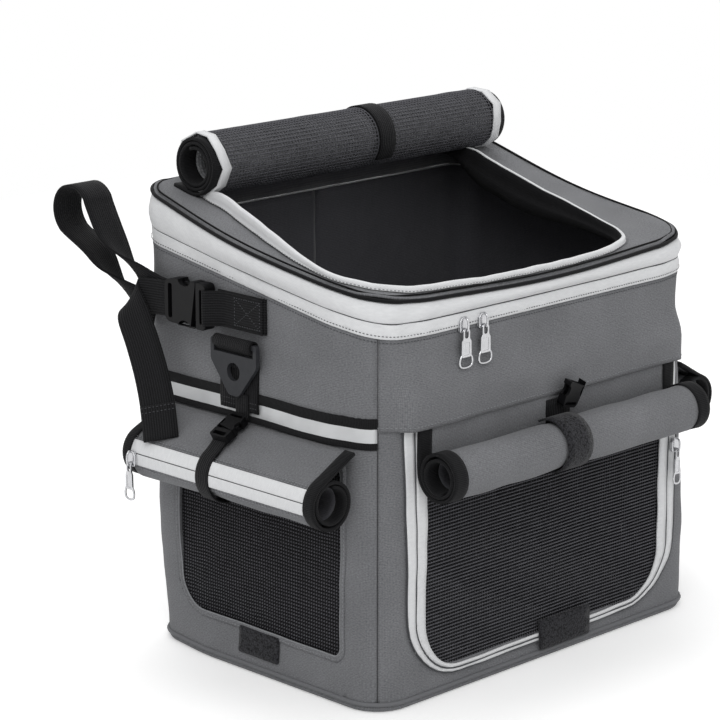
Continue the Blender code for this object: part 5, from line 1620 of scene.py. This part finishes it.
STRAP_TAIL_WIDTH = ((0, 0, 1), (0, 0, 1), (0, -0.25, 0.97), (-0.1, -0.7, 0.71), (-0.45, -0.8, 0.4),
                    (-0.5, -0.8, 0.3), (-0.55, -0.78, 0.25), (-0.6, -0.75, 0.2), (-0.6, -0.75, 0.2))
TAIL_CUP = 0.5 * MM
TAIL_HEM = 22 * MM
TAIL_HEM_THICKNESS = 1.1 * MM
TAIL_HEM_LIFT = 1.2 * MM
HEM_ROWS = (1.5 * MM, 5 * MM)
HEM_ROW_LIFT = 0.6 * MM
HEM_ROW_SHARE = 0.9
TAIL_STITCH_PITCH = 2.6 * MM


def make_handlebar_strap(side, label):
    """Strap from the wall round the handlebar to the buckle, and its tail."""
    def placed(points):
        return [Vector((side * (HALF_X + p.x), p.y, p.z)) for p in points]

    def widths(shares):
        return [Vector((side * w.x, w.y, w.z)).normalized() * WEB_WIDTH / 2 for w in spline(shares)]

    mouth = Vector((0, *BUCKLE_MOUTH))
    route = [mouth + Vector(p) for p in STRAP_UP]
    across = list(STRAP_UP_WIDTH)
    for i in range(LOOP_POINTS):
        angle = math.radians(LOOP_START - LOOP_STEP * i)
        route.append(Vector((LOOP_REACH, BAR_Y + LOOP_RADIUS * math.cos(angle),
                             BAR_HEIGHT + LOOP_RADIUS * math.sin(angle))))
        across.append((1, 0, 0))
    route += [mouth + Vector(p) for p in STRAP_RETURN]
    across += STRAP_RETURN_WIDTH
    item = ribbon(label + "_strap_loop", placed(spline(route)), widths(across), WEB_THICKNESS, WEBBING)
    hand_over(item, label + "_buckle", label + "_handlebar_strap")

    tail = placed(spline([mouth + Vector(p) for p in STRAP_TAIL]))
    halves = widths(STRAP_TAIL_WIDTH)
    hand_over(ribbon(label + "_strap_tail", tail, halves, WEB_THICKNESS, WEBBING, cup=TAIL_CUP),
              label + "_buckle")
    start = len(tail) - 1
    while (tail[start] - tail[-1]).length < TAIL_HEM:
        start -= 1
    along = (tail[-1] - tail[start]).normalized()
    out = along.cross(halves[-1]).normalized()
    over = [p + out * TAIL_HEM_LIFT for p in tail[start:]]
    hand_over(ribbon(label + "_strap_hem", over, halves[start:], TAIL_HEM_THICKNESS, WEBBING),
              label + "_buckle")
    rows = []
    for shift in HEM_ROWS:
        middle = over[0] + along * shift + out * HEM_ROW_LIFT
        rows.append([middle - halves[start] * HEM_ROW_SHARE, middle + halves[start] * HEM_ROW_SHARE])
    sew(label + "_hem_stitches", rows, label + "_buckle", DARK_THREAD, TAIL_STITCH_PITCH)


def side_plan(side, rise=0.0):
    """Frame for paths over a side in plan: X outwards, Y rearwards, Z up."""
    return Matrix.Translation((side * HALF_X, 0, rise)) @ Matrix.Diagonal((side, 1, 1, 1))


# Paths of the anchor's two layers, from the side and rearwards, in mm
ANCHOR_LOWER = ((0.9, -14), (1, 10), (1.1, 34))
ANCHOR_UPPER = ((2.6, -12.5), (2.6, 18), (3.6, 27), (9, 33), (13, 36.6), (10, 39.6), (5, 39.6))
# Box and cross sewn on the anchor: its ends, half height and lift
CROSS_FRONT = -10 * MM
CROSS_REAR = 15 * MM
CROSS_HALF = 9.5 * MM
CROSS_LIFT = 3.5 * MM
WEB_STITCH_PITCH = 2.4 * MM


def make_strap_anchor(side, label):
    """Webbing sewn to the wall, threaded through the plug half and back."""
    place = side_plan(side, BUCKLE_MOUTH[1])
    for name, path in (("lower", ANCHOR_LOWER), ("upper", ANCHOR_UPPER)):
        nodes = [label + "_strap_anchor"] if name == "upper" else []
        path = [(x * MM, y * MM) for x, y in path]
        item = flat_strap("%s_anchor_%s" % (label, name), place, path, WEB_WIDTH, WEB_THICKNESS, WEBBING)
        hand_over(item, "body", *nodes)
    corners = ((CROSS_FRONT, -CROSS_HALF), (CROSS_REAR, -CROSS_HALF), (CROSS_REAR, CROSS_HALF),
               (CROSS_FRONT, CROSS_HALF))
    a, b, c, d = [place @ Vector((CROSS_LIFT, y, z)) for y, z in corners]
    sew(label + "_anchor_stitches", [[a, b, c, d, a, c], [d, b]], "body", DARK_THREAD, WEB_STITCH_PITCH)


RING_Y = 12 * MM
RING_HEIGHT = 240.5 * MM
RING_WEB_WIDTH = 38 * MM
RING_WEB = 1.3 * MM
RING_LOOP_RADIUS = 3.65 * MM
RING_LOOP_REACH = 6.35 * MM
# The webbing's path from its foot up to its loop, and from there down again
RING_WEB_UP = ((2.2 * MM, 192.5 * MM), (2.6 * MM, 200 * MM), (2.2 * MM, 212 * MM), (1.2 * MM, 226 * MM))
RING_WEB_DOWN = ((3.2 * MM, 231 * MM), (2.7 * MM, 222 * MM))
RING_STITCH_HEIGHTS = (196 * MM, 199.5 * MM)
RING_STITCH_HALF = 17 * MM
RING_STITCH_OUT = 3.3 * MM


def make_ring_webbing(side, label):
    """Webbing that loops round the ring's bar and is sewn to the wall."""
    loop = [tuple(p) for p, _ in arc((RING_LOOP_REACH, RING_HEIGHT), RING_LOOP_RADIUS, 180, -250, 16)]
    path = [*RING_WEB_UP, *loop, *RING_WEB_DOWN]
    item = flat_strap(label + "_ring_strap", side_section(side, RING_Y), path, RING_WEB_WIDTH, RING_WEB,
                      WEBBING, 7, 2)
    hand_over(item, "body", label + "_ring_webbing")
    reach = side * (HALF_X + RING_STITCH_OUT)
    rows = [[Vector((reach, RING_Y + way * RING_STITCH_HALF, height)) for way in (-1, 1)]
            for height in RING_STITCH_HEIGHTS]
    sew(label + "_ring_stitches", rows, "body", DARK_THREAD, WEB_STITCH_PITCH)


SIDE_STRAP_WIDTH = 13 * MM
SIDE_STRAP_LIFT = 1.4 * MM
SIDE_STRAP_SWEEP = -215
# Path of the upper strap down the wall. Then places along the flap and off
# it: where it ends in the socket, and where the lower strap leaves the plug.
UPPER_STRAP = ((3.6 * MM, 205 * MM), (3.4 * MM, 196 * MM), (3.6 * MM, 189 * MM))
UPPER_STRAP_END = (3.5 * MM, 5.5 * MM)
PLUG_PATH = ((21.5 * MM, 5.5 * MM), (25 * MM, 3.4 * MM))
STRAP_STEADY_POINT = 9


def make_side_strap(side, label):
    """Narrow strap from the ring's patch to the clip, and round the roll."""
    _, start, down, out, first = side_profile()
    section = side_section(side, SIDE_STRAP_Y)
    end, *plug = [tuple(start + down * along + out * off) for along, off in (UPPER_STRAP_END, *PLUG_PATH)]
    item = flat_strap(label + "_cover_strap_upper", section, [*UPPER_STRAP, end], SIDE_STRAP_WIDTH,
                      STRAP_THICKNESS, WEBBING)
    hand_over(item, "body")
    round_roll = arc(SIDE_ROLL_CENTRE, SIDE_ROLL_RADIUS + SIDE_STRAP_LIFT, first, SIDE_STRAP_SWEEP, 26)
    wrap = [tuple(p) for p, _ in round_roll]
    item = flat_strap(label + "_cover_strap", section, plug + wrap, SIDE_STRAP_WIDTH, STRAP_THICKNESS,
                      WEBBING, 5, 2)
    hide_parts(label + "_roll_strap")
    first, last = [section @ Vector((*p, 0)) for p in (plug[0], wrap[STRAP_STEADY_POINT])]
    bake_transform(item)


# Buckles, clips, sliders and pullers

# Width, length and thickness of a socket; width, length, prongs and
# thickness of a plug
STRAP_SOCKET = (33 * MM, 32 * MM, 10 * MM)
STRAP_PLUG = (33 * MM, 10 * MM, 22 * MM, 10 * MM)
SIDE_SOCKET = (16 * MM, 16 * MM, 6.5 * MM)
SIDE_PLUG = (16 * MM, 8 * MM, 10.5 * MM, 6.5 * MM)
FRONT_SOCKET = (17 * MM, 20 * MM, 6.5 * MM)
# The wall as a share of the width, and roundings as shares of the thickness
BUCKLE_WALL = 0.07
BUCKLE_ROUNDING = 0.07
PRONG_ROUNDING = 0.05
PLUG_GAP = 0.5 * MM
PRONG_GAP = 0.3 * MM
# Outer edge of a prong, as shares of its length and walls outwards. Then its
# inner edge, as shares of its length and of its place from the middle.
PRONG_EAR = ((0.3, 0), (0.42, 0.9), (0.58, 1.5), (0.74, 1.2), (0.86, 0), (1.0, -0.8))
PRONG_INSIDE = ((0.96, 0.5), (0.7, 0.62), (0.3, 0.6), (0.24, 0.3), (0.8, 0.12))
SIDE_CLIP_DOWN = 17 * MM
SIDE_CLIP_OUT = 2.8 * MM
FRONT_CLIP_TOP = (FRONT_CLIP_X + 2 * MM, -HALF_Y - 13.5 * MM, 208.5 * MM)
FRONT_CLIP_WAY = (-0.2, 0.3, -1)


def socket_half(name, width, length, thickness, place, body, node):
    """Female buckle half from its mouth, with oval windows and a web slot."""
    half = width / 2
    wall = width * BUCKLE_WALL
    middle = length * 0.36
    reach = length * 0.2
    notch = [Vector((middle + reach * math.cos(a), width * 0.13 * math.sin(a)))
             for a in [math.pi * i / 8 for i in range(9)]]
    far = half * 0.92
    outline = fillet([(0, -half), (length, -far), (length, far), (0, half)],
                     [wall * 0.6, wall * 2.6, wall * 2.6, wall * 0.6], 5)
    split = next(i for i, p in enumerate(outline) if p.y < 0 and p.x > middle)
    low = [Vector((2 * middle - p.x, -half + p.y)) for p in notch]
    high = [Vector((p.x, half - p.y)) for p in notch]
    outline = outline[:split] + low + outline[split:] + high
    slot = box_outline((length - wall * 3.4, -half + wall * 1.8), (length - wall * 1.6, half - wall * 1.8),
                       [wall * 0.7] * 4)
    item = prism(name, [outline, slot], thickness, ACETAL, place)
    hollow = box_outline((-length, -half + 2 * wall), (length * 0.72, half - 2 * wall), [0] * 4)
    cleft = box_outline((middle - reach, -width), (middle + reach, width), [0] * 4)
    for part, cut in (("_hollow", hollow), ("_cleft", cleft)):
        cut_by(item, prism(name + part, [cut], thickness - 3 * wall, ACETAL, place, 1.5 * wall))
    hand_over(round_off(item, BUCKLE_ROUNDING * thickness, 2), body, node)


def plug_half(name, width, length, prong, thickness, place, body, node):
    """Male buckle half: slotted end, sprung prongs with ears, and a tongue."""
    half = width / 2
    wall = width * BUCKLE_WALL
    inner = half - 2 * wall - PLUG_GAP
    ends = fillet([(-length, -half), (-PRONG_GAP, -half), (-PRONG_GAP, half), (-length, half)],
                  [wall * 1.6, wall * 0.5, wall * 0.5, wall * 1.6], 5)
    slot = box_outline((-length + wall * 1.2, -half + wall * 1.9), (-length * 0.42, half - wall * 1.9),
                       [wall * 0.5] * 4)
    item = prism(name, [ends, slot], thickness, ACETAL, place)
    fork = [Vector((-0.4 * length, inner))]
    fork += [Vector((prong * share, inner + wall * rise)) for share, rise in PRONG_EAR]
    fork += [Vector((prong * share, inner * off)) for share, off in PRONG_INSIDE]
    fork += [Vector((p.x, -p.y)) for p in fork[::-1]]
    prongs = prism(name + "_prongs", [fork[::-1]], thickness - 3 * wall - 2 * PRONG_GAP, ACETAL, place,
                   1.5 * wall + PRONG_GAP)
    hand_over(round_off(prongs, PRONG_ROUNDING * thickness, 2), body)
    hand_over(round_off(item, BUCKLE_ROUNDING * thickness, 2), body, node)


def make_buckles():
    """Strap buckles and clips of both sides, and the front clip's socket."""
    for side, label in ((-1, "left"), (1, "right")):
        mouth = (side * (HALF_X + BUCKLE_LIFT), *BUCKLE_MOUTH)
        place = frame_at(mouth, (0, 1, 0), (0, 0, side))
        socket_half(label + "_buckle_socket", *STRAP_SOCKET, place, label + "_buckle",
                    label + "_buckle_female")
        plug_half(label + "_buckle_plug", *STRAP_PLUG, place, "body", label + "_buckle_male")
        _, start, down, out, _ = side_profile()
        mouth = start + down * SIDE_CLIP_DOWN + out * SIDE_CLIP_OUT
        section = side_section(side)
        turn = section.to_3x3()
        origin = section @ Vector((mouth.x, mouth.y, 0))
        origin.y = SIDE_STRAP_Y
        up_slope = turn @ Vector((-down.x, -down.y, 0))
        outwards = turn @ Vector((out.x, out.y, 0))
        place = frame_at(origin, up_slope, outwards.cross(up_slope))
        socket_half(label + "_clip_socket", *SIDE_SOCKET, place, "body", label + "_clip_female")
        plug_half(label + "_clip_plug", *SIDE_PLUG, place, label + "_clip_male", label + "_clip_male")
    place = frame_at(FRONT_CLIP_TOP, Vector(FRONT_CLIP_WAY).normalized(), (1, 0, 0))
    socket_half("front_clip_socket", *FRONT_SOCKET, place, "front_door", "front_clip")


def make_rings():
    """The rings keep their moulded shape, with softened edges."""
    for label in ("left", "right"):
        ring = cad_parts[label + "_d_ring"]
        ring.data.materials[0] = NYLON
        round_off(ring, 0.7 * MM, 3)


# A slider in mm: its shield with the roundings of the corners, and its bail
SHIELD = ((-4.5, -5.5), (4.5, -5.5), (4.5, 2.5), (2.4, 5.5), (-2.4, 5.5), (-4.5, 2.5))
SHIELD_ROUNDINGS = (1.8, 1.8, 1.6, 1.6, 1.6, 1.6)
BAIL = ((0, -4.6, 1.8), (0, -4.7, 4.4), (0, -3.4, 6.0), (0, 0, 6.5), (0, 3.4, 6.0), (0, 4.7, 4.4),
        (0, 4.6, 1.8))
# Its puller in mm, from the bail down: plate with roundings, eye, and bow
PULLER = ((-3.2, -0.1), (-3.2, -7), (-4.6, -9), (-4.9, -20), (4.9, -20), (4.6, -9), (3.2, -7),
          (3.2, -0.1))
PULLER_ROUNDINGS = (2.4, 1, 1.4, 1.6, 1.6, 1.4, 1, 2.4)
BOW = ((-4.1, -18.4), (-5.6, -20.6), (-6.2, -23.4), (-4.9, -26.4), (0, -27.4), (4.9, -26.4),
       (6.2, -23.4), (5.6, -20.6), (4.1, -18.4))
SHIELD_PLATE = 1.6 * MM
SHIELD_LIFT = 1.7 * MM
SLIDER_BASE = 1.2 * MM
SLIDER_BASE_LIFT = 0.3 * MM
SLIDER_BASE_SHARE = 0.94
BAIL_RADIUS = 0.75 * MM
PULLER_SEAT = (0, -2.2 * MM, 4.5 * MM)
PULLER_PLATE = 1.4 * MM
PULLER_INLAY = 0.7 * MM
BOW_RADIUS = 0.8 * MM
TOP_SLIDERS = {"left": -90 * MM, "right": -71 * MM}
TOP_SLIDER_HEIGHT = 262 * MM
FRONT_SLIDER = (139 * MM, -HALF_Y - 1.5 * MM, 132 * MM)
SIDE_SLIDER = (211.25 * MM, 80 * MM, 152 * MM)
# How broad a puller is, as a share of the lid's
FRONT_BREADTH = 0.6
SIDE_BREADTH = 0.74


def make_slider(name, puller_name, place, breadth):
    """Zip slider with a wire bail, and its long puller, as broad as told."""
    shield = [p * MM for p in fillet(SHIELD, SHIELD_ROUNDINGS, 4)]
    plate = prism(name + "_plate", [shield], SHIELD_PLATE, NICKEL, place, SHIELD_LIFT)
    hand_over(round_off(plate, 0.5 * MM, 3), name, name)
    lower = prism(name + "_base", [[p * SLIDER_BASE_SHARE for p in shield]], SLIDER_BASE, NICKEL, place,
                  SLIDER_BASE_LIFT)
    hand_over(round_off(lower, 0.3 * MM, 2), name)
    wire = [place @ (p * MM) for p in spline(BAIL)]
    item = grow(name + "_bail", [wire], YARN, Radius=BAIL_RADIUS, Sides=10, Finish=NICKEL)
    hand_over(item, name)

    hung = place @ Matrix.Translation(PULLER_SEAT)
    wide = Vector((breadth, 1))
    outline = [p * wide * MM for p in fillet(PULLER, PULLER_ROUNDINGS, 4)]
    eye = [p * wide * MM for p in box_outline((-1.8, -6.8), (1.8, -0.9), [1.4] * 4)]
    window = [p * wide * MM for p in box_outline((-3.1, -18.4), (3.1, -9.8), [0.8] * 4)]
    plate = prism(puller_name + "_plate", [outline, eye, window], PULLER_PLATE, NICKEL, hung,
                  -PULLER_PLATE / 2)
    hand_over(round_off(plate, 0.4 * MM, 3), puller_name, puller_name)
    inlay = prism(puller_name + "_inlay", [window], PULLER_INLAY, NICKEL, hung, -PULLER_INLAY / 2)
    hand_over(inlay, puller_name)
    wire = [hung @ (p * MM) for p in spline([(x * breadth, y, 0) for x, y in BOW])]
    item = grow(puller_name + "_bow", [wire], YARN, Radius=BOW_RADIUS, Sides=10, Finish=NICKEL)
    hand_over(item, puller_name)


def make_sliders():
    """Two sliders on the lid's zip, one on the door and one on each roll."""
    for label, x in TOP_SLIDERS.items():
        place = frame_at((x, -HALF_Y, TOP_SLIDER_HEIGHT), (1, 0, 0), (0, 0, 1))
        make_slider("top_slider_" + label, "top_puller_" + label, place, 1)
    place = frame_at(FRONT_SLIDER, (1, 0, 0), (0, 0, 1))
    make_slider("front_zip_slider", "front_zip_puller", place, FRONT_BREADTH)
    reach, y, height = SIDE_SLIDER
    for side, label in ((-1, "left"), (1, "right")):
        place = frame_at((side * reach, y, height), (0, side, 0), (0, 0, 1))
        make_slider(label + "_pocket_slider", label + "_pocket_puller", place, SIDE_BREADTH)


# Rolled mesh cover on the lid

TOP_ROLL_RADIUS = 20.5 * MM
TOP_ROLL_TURNS = 2.6
# Along the lid from its middle, and off it
TOP_ROLL_CENTRE = (86 * MM / math.cos(LID_ANGLE), 24.8 * MM)
TOP_ROLL_HALF = 150 * MM
TOP_FLAP = 18 * MM
TOP_COVER = 1.2 * MM
TOP_COVER_SLACK = 0.6 * MM
TOP_BINDING = 14 * MM
TOP_BINDING_STEP = 3.5 * MM
PALE_BAND = 8 * MM
PALE_BAND_EDGE = 5 * MM
PALE_BAND_WAVE = 2 * MM
PALE_BAND_LIFT = 2 * MM
PALE_BAND_THICKNESS = 1.2 * MM
YARN_SPACING = 2.9 * MM
YARN_LIFT = 1.1 * MM
YARN_LOOSENESS = 0.5 * MM
YARN_RADIUS = 0.55 * MM
TIE_X = 20 * MM
TIE_WIDTH = 16 * MM
TIE_RADIUS = 23 * MM


def top_section(x=0.0):
    """Frame in the lid's plane: X rearwards up the slope, Y off the lid."""
    middle = PIPING_LINE(0)
    turned = Matrix.Rotation(LID_ANGLE, 4, "X")
    plane = frame_at((0, 0, 0), (0, 1, 0), (0, 0, 1))
    return Matrix.Translation((x, 0, middle)) @ turned @ plane


def make_top_roll():
    """Mesh cover rolled up behind the opening, its bound ends and its tie."""
    centre = TOP_ROLL_CENTRE
    curl = arc(centre, TOP_ROLL_RADIUS, 270, -360 * TOP_ROLL_TURNS, round(TOP_ROLL_TURNS * ROLL_STEPS),
               ROLL_PITCH)
    start = (centre[0] + TOP_FLAP, centre[1] - TOP_ROLL_RADIUS)
    profile = straight(start, curl[0][0], (0, -1)) + curl
    inner = TOP_ROLL_HALF - TOP_BINDING
    place = top_section()
    # The inner layers are one sheet, with pale specks painted on for the light through the net's holes
    item = rolled("mesh_cover", profile, stations(-inner, inner), place, TOP_COVER, NET_LAYERS_PAINTED_LIGHT,
                  TOP_COVER_SLACK, TIE_X, 31.0)
    hand_over(item, "lid", "top_roll")
    for name, way in (("left", -1), ("right", 1)):
        places = stations(way * inner, way * TOP_ROLL_HALF, TOP_BINDING_STEP)
        item = rolled("mesh_cover_binding_" + name, profile, places, place, BINDING, GROSGRAIN,
                      TOP_COVER_SLACK, None, 32.0, BINDING_LIFT)
        hand_over(item, "lid", *(["top_roll_binding"] if way < 0 else []))
        facets = arc(centre, TOP_ROLL_RADIUS + PALE_BAND_LIFT, 250, 385, 11)
        rows = []
        for share in (0, 0.5, 1):
            row = []
            for i, (p, _) in enumerate(facets):
                edge = TOP_ROLL_HALF - PALE_BAND_EDGE - PALE_BAND * share
                z = way * (edge + PALE_BAND_WAVE * math.sin(2.1 * i))
                row.append(place @ Vector((p.x, p.y, z)))
            rows.append(row)
        hand_over(loft("mesh_cover_band_" + name, rows, ZIP_TAPE, PALE_BAND_THICKNESS), "lid")

    lines = []
    around = arc(centre, TOP_ROLL_RADIUS + YARN_LIFT, 245, 385, 50)
    for z in stations(-inner, inner, YARN_SPACING):
        loose = YARN_LOOSENESS * noise.noise(Vector((z * 40, 5, 0)))
        lines.append([place @ Vector((p.x + out.x * loose, p.y + out.y * loose, z)) for p, out in around])
    for p, _ in around:
        lines.append([place @ Vector((p.x, p.y, z)) for z in stations(-inner, inner, 20 * MM)])
    item = grow("mesh_cover_yarns", lines, YARN, Radius=YARN_RADIUS, Sides=4, Finish=MESH_YARN)
    hand_over(item, "lid")

    wrap = [tuple(p) for p, _ in arc(centre, TIE_RADIUS, 207.5, -235, 30)]
    item = flat_strap("cover_tie", top_section(TIE_X), wrap, TIE_WIDTH, STRAP_THICKNESS, WEBBING, 5, 1)
    hand_over(item, "lid", "top_roll_tie")


# Floor cushion

CUSHION_COLUMNS = 64
CUSHION_ROWS = 44
CUSHION_INSET = 4 * MM
CUSHION_MIDDLE = 6.5 * MM
CUSHION_RISE = 5 * MM
CUSHION_SINK = 5.5 * MM
CUSHION_SEAM = 50 * MM
CUSHION_SEAM_FADE = 5 * MM
# What stays still while it swells: the seams, and all this far below the middle
CUSHION_SEAM_HALF = 2.6 * MM
CUSHION_HELD = 3 * MM
CUSHION_STITCH_RISE = 0.9 * MM
CUSHION_CAP = 9 * MM
CUSHION_FRAMES = 20


def make_cushion():
    """Padded pillow with two sewn channels, blown up by cloth simulation."""
    low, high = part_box("floor_cushion")
    half_x, half_y = high.x - CUSHION_INSET, high.y - CUSHION_INSET
    middle = low.z + CUSHION_MIDDLE
    bm = bmesh.new()
    layers = []
    for way in (1, -1):
        grid = []
        for j in range(CUSHION_ROWS + 1):
            v = 2 * j / CUSHION_ROWS - 1
            row = []
            for i in range(CUSHION_COLUMNS + 1):
                u = 2 * i / CUSHION_COLUMNS - 1
                corner = 1 - 0.09 * abs(u * v) ** 6
                x, y = half_x * u * corner, half_y * v * corner
                seam = 1 - math.exp(-((abs(x) - CUSHION_SEAM) / CUSHION_SEAM_FADE) ** 2)
                edge = (1 - abs(u) ** 10) * (1 - abs(v) ** 8)
                rise = CUSHION_RISE * seam * edge if way > 0 else -CUSHION_SINK * edge
                row.append(bm.verts.new((x, y, middle + rise)))
            grid.append(row)
        layers.append(grid)
    for way, grid in enumerate(layers):
        for j in range(CUSHION_ROWS):
            for i in range(CUSHION_COLUMNS):
                face = [grid[j][i], grid[j][i + 1], grid[j + 1][i + 1], grid[j + 1][i]]
                bm.faces.new(face if way == 0 else face[::-1])
    bmesh.ops.remove_doubles(bm, verts=bm.verts, dist=0.01 * MM)
    for face in bm.faces:
        face.smooth = True
    item = add_object("fleece_cushion", bm, FLEECE)
    sewn = item.vertex_groups.new(name="sewn")
    for vert in item.data.vertices:
        x, y, z = vert.co
        if abs(abs(x) - CUSHION_SEAM) < CUSHION_SEAM_HALF or z < middle - CUSHION_HELD:
            sewn.add([vert.index], 1.0, "REPLACE")
    blow_up(item, low, high)
    smooth = item.modifiers.new("Smooth", "SUBSURF")
    smooth.levels = smooth.render_levels = 1
    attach(item, "cushion")
    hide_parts("floor_cushion")
    lines = []
    for x in (-CUSHION_SEAM, CUSHION_SEAM):
        lines.append([Vector((x, way * half_y * 0.94, middle + CUSHION_STITCH_RISE)) for way in (-1, 1)])
    sew("cushion_stitches", lines, "cushion")


def blow_up(item, low, high):
    """Swell a closed pillow by cloth pressure, held at its sewn points."""
    rest = [v.co.copy() for v in item.data.vertices]
    cloth = item.modifiers.new("Cloth", "CLOTH")
    given = cloth.settings
    given.quality = 6
    given.mass = 0.2
    given.tension_stiffness = given.compression_stiffness = 12
    given.bending_stiffness = 0.3
    given.shrink_min = -0.05
    given.use_pressure = True
    given.uniform_pressure_force = 4
    given.effector_weights.gravity = 0
    given.vertex_group_mass = "sewn"
    cloth.point_cache.frame_start = 1
    cloth.point_cache.frame_end = CUSHION_FRAMES
    for step in range(1, CUSHION_FRAMES + 1):
        bpy.context.scene.frame_set(step)
    evaluated = item.evaluated_get(bpy.context.evaluated_depsgraph_get())
    moved = [v.co.copy() for v in evaluated.data.vertices]
    item.modifiers.remove(cloth)
    bpy.context.scene.frame_set(1)
    for vert, start, end in zip(item.data.vertices, rest, moved):
        step = end - start
        if step.length > CUSHION_CAP:
            step *= CUSHION_CAP / step.length
        place = start + step
        vert.co = [min(top, max(bottom, value)) for bottom, value, top in zip(low, place, high)]


# Stage, light and camera

# Brightness of the world, and of the floor where the eye sees it
AMBIENT = 0.66
FLOOR_GLOW = 0.3
FLOOR_HALF = 1.5
FLOOR_GREY = 0.9
LAMP_AIM = (0, 0, 0.18)
# Each lamp's name, place, size and power in watts
LAMPS = (
    ("key_lamp", (-1.6, -1.5, 2.2), 1.6, 26),
    ("front_lamp", (1.2, -2.2, 1.2), 1.6, 2),
    ("top_lamp", (0.3, 0.6, 2.6), 1.4, 16),
)


def make_stage():
    """Pale floor, soft lamps and a plain pale world."""
    bm = bmesh.new()
    bmesh.ops.create_grid(bm, x_segments=1, y_segments=1, size=FLOOR_HALF)
    finish, tree, shader = new_finish("pale_floor")
    ray = add_node(tree, "ShaderNodeLightPath").outputs
    seen = add_node(tree, "ShaderNodeMath", {0: ray["Is Camera Ray"], 1: ray["Is Glossy Ray"]},
                    operation="MAXIMUM").outputs[0]
    glow = add_node(tree, "ShaderNodeMath", {0: seen, 1: FLOOR_GLOW}, operation="MULTIPLY").outputs[0]
    set_inputs(tree, shader, {
        "Base Color": (FLOOR_GREY, FLOOR_GREY, FLOOR_GREY, 1), "Roughness": 0.9,
        "Emission Color": (1, 1, 1, 1), "Emission Strength": glow})
    add_object("floor", bm, finish)

    world = bpy.data.worlds.new("pale_world")
    bpy.context.scene.world = world
    world.use_nodes = True
    tree = world.node_tree
    ray = add_node(tree, "ShaderNodeLightPath").outputs
    seen = add_node(tree, "ShaderNodeMath", {0: ray["Is Camera Ray"], 1: ray["Is Glossy Ray"]},
                    operation="MAXIMUM").outputs[0]
    seen = add_node(tree, "ShaderNodeMath", {0: seen, 1: ray["Is Transmission Ray"]},
                    operation="MAXIMUM").outputs[0]
    level = add_node(tree, "ShaderNodeMath", {0: seen, 1: 1 - AMBIENT, 2: AMBIENT},
                     operation="MULTIPLY_ADD").outputs[0]
    set_inputs(tree, tree.nodes["Background"], {"Color": (1, 1, 1, 1), "Strength": level})

    for name, place, size, power in LAMPS:
        lamp = bpy.data.lights.new(name, "AREA")
        lamp.energy = power
        lamp.size = size
        item = bpy.data.objects.new(name, lamp)
        item.location = place
        aim = Vector(LAMP_AIM) - Vector(place)
        item.rotation_euler = aim.to_track_quat("-Z", "Y").to_euler()
        bpy.context.collection.objects.link(item)


def make_camera():
    """Camera of the photograph, aimed by azimuth and elevation."""
    azimuth = math.radians(CAMERA_AZIMUTH)
    elevation = math.radians(CAMERA_ELEVATION)
    away = Vector((math.sin(azimuth) * math.cos(elevation), -math.cos(azimuth) * math.cos(elevation),
                   math.sin(elevation)))
    camera = bpy.data.objects.new("camera", bpy.data.cameras.new("camera"))
    camera.data.lens = CAMERA_LENS
    camera.data.sensor_width = CAMERA_SENSOR
    camera.location = Vector(CAMERA_TARGET) + away * CAMERA_DISTANCE
    camera.rotation_euler = (-away).to_track_quat("-Z", "Y").to_euler()
    bpy.context.collection.objects.link(camera)
    bpy.context.scene.camera = camera
    bpy.context.scene.view_settings.view_transform = "Standard"


def make_all():
    make_camera()
    make_stage()
    make_walls()
    make_base()
    make_collar()
    make_lining()
    make_zip_bands()
    make_lid()
    make_front_cover()
    make_door()
    for side, label in ((-1, "left"), (1, "right")):
        make_side_cover(side, label)
        make_side_wall_trim(side, label)
        make_handlebar_strap(side, label)
        make_strap_anchor(side, label)
        make_ring_webbing(side, label)
        make_side_strap(side, label)
    make_buckles()
    make_rings()
    make_sliders()
    make_top_roll()
    make_cushion()


make_all()
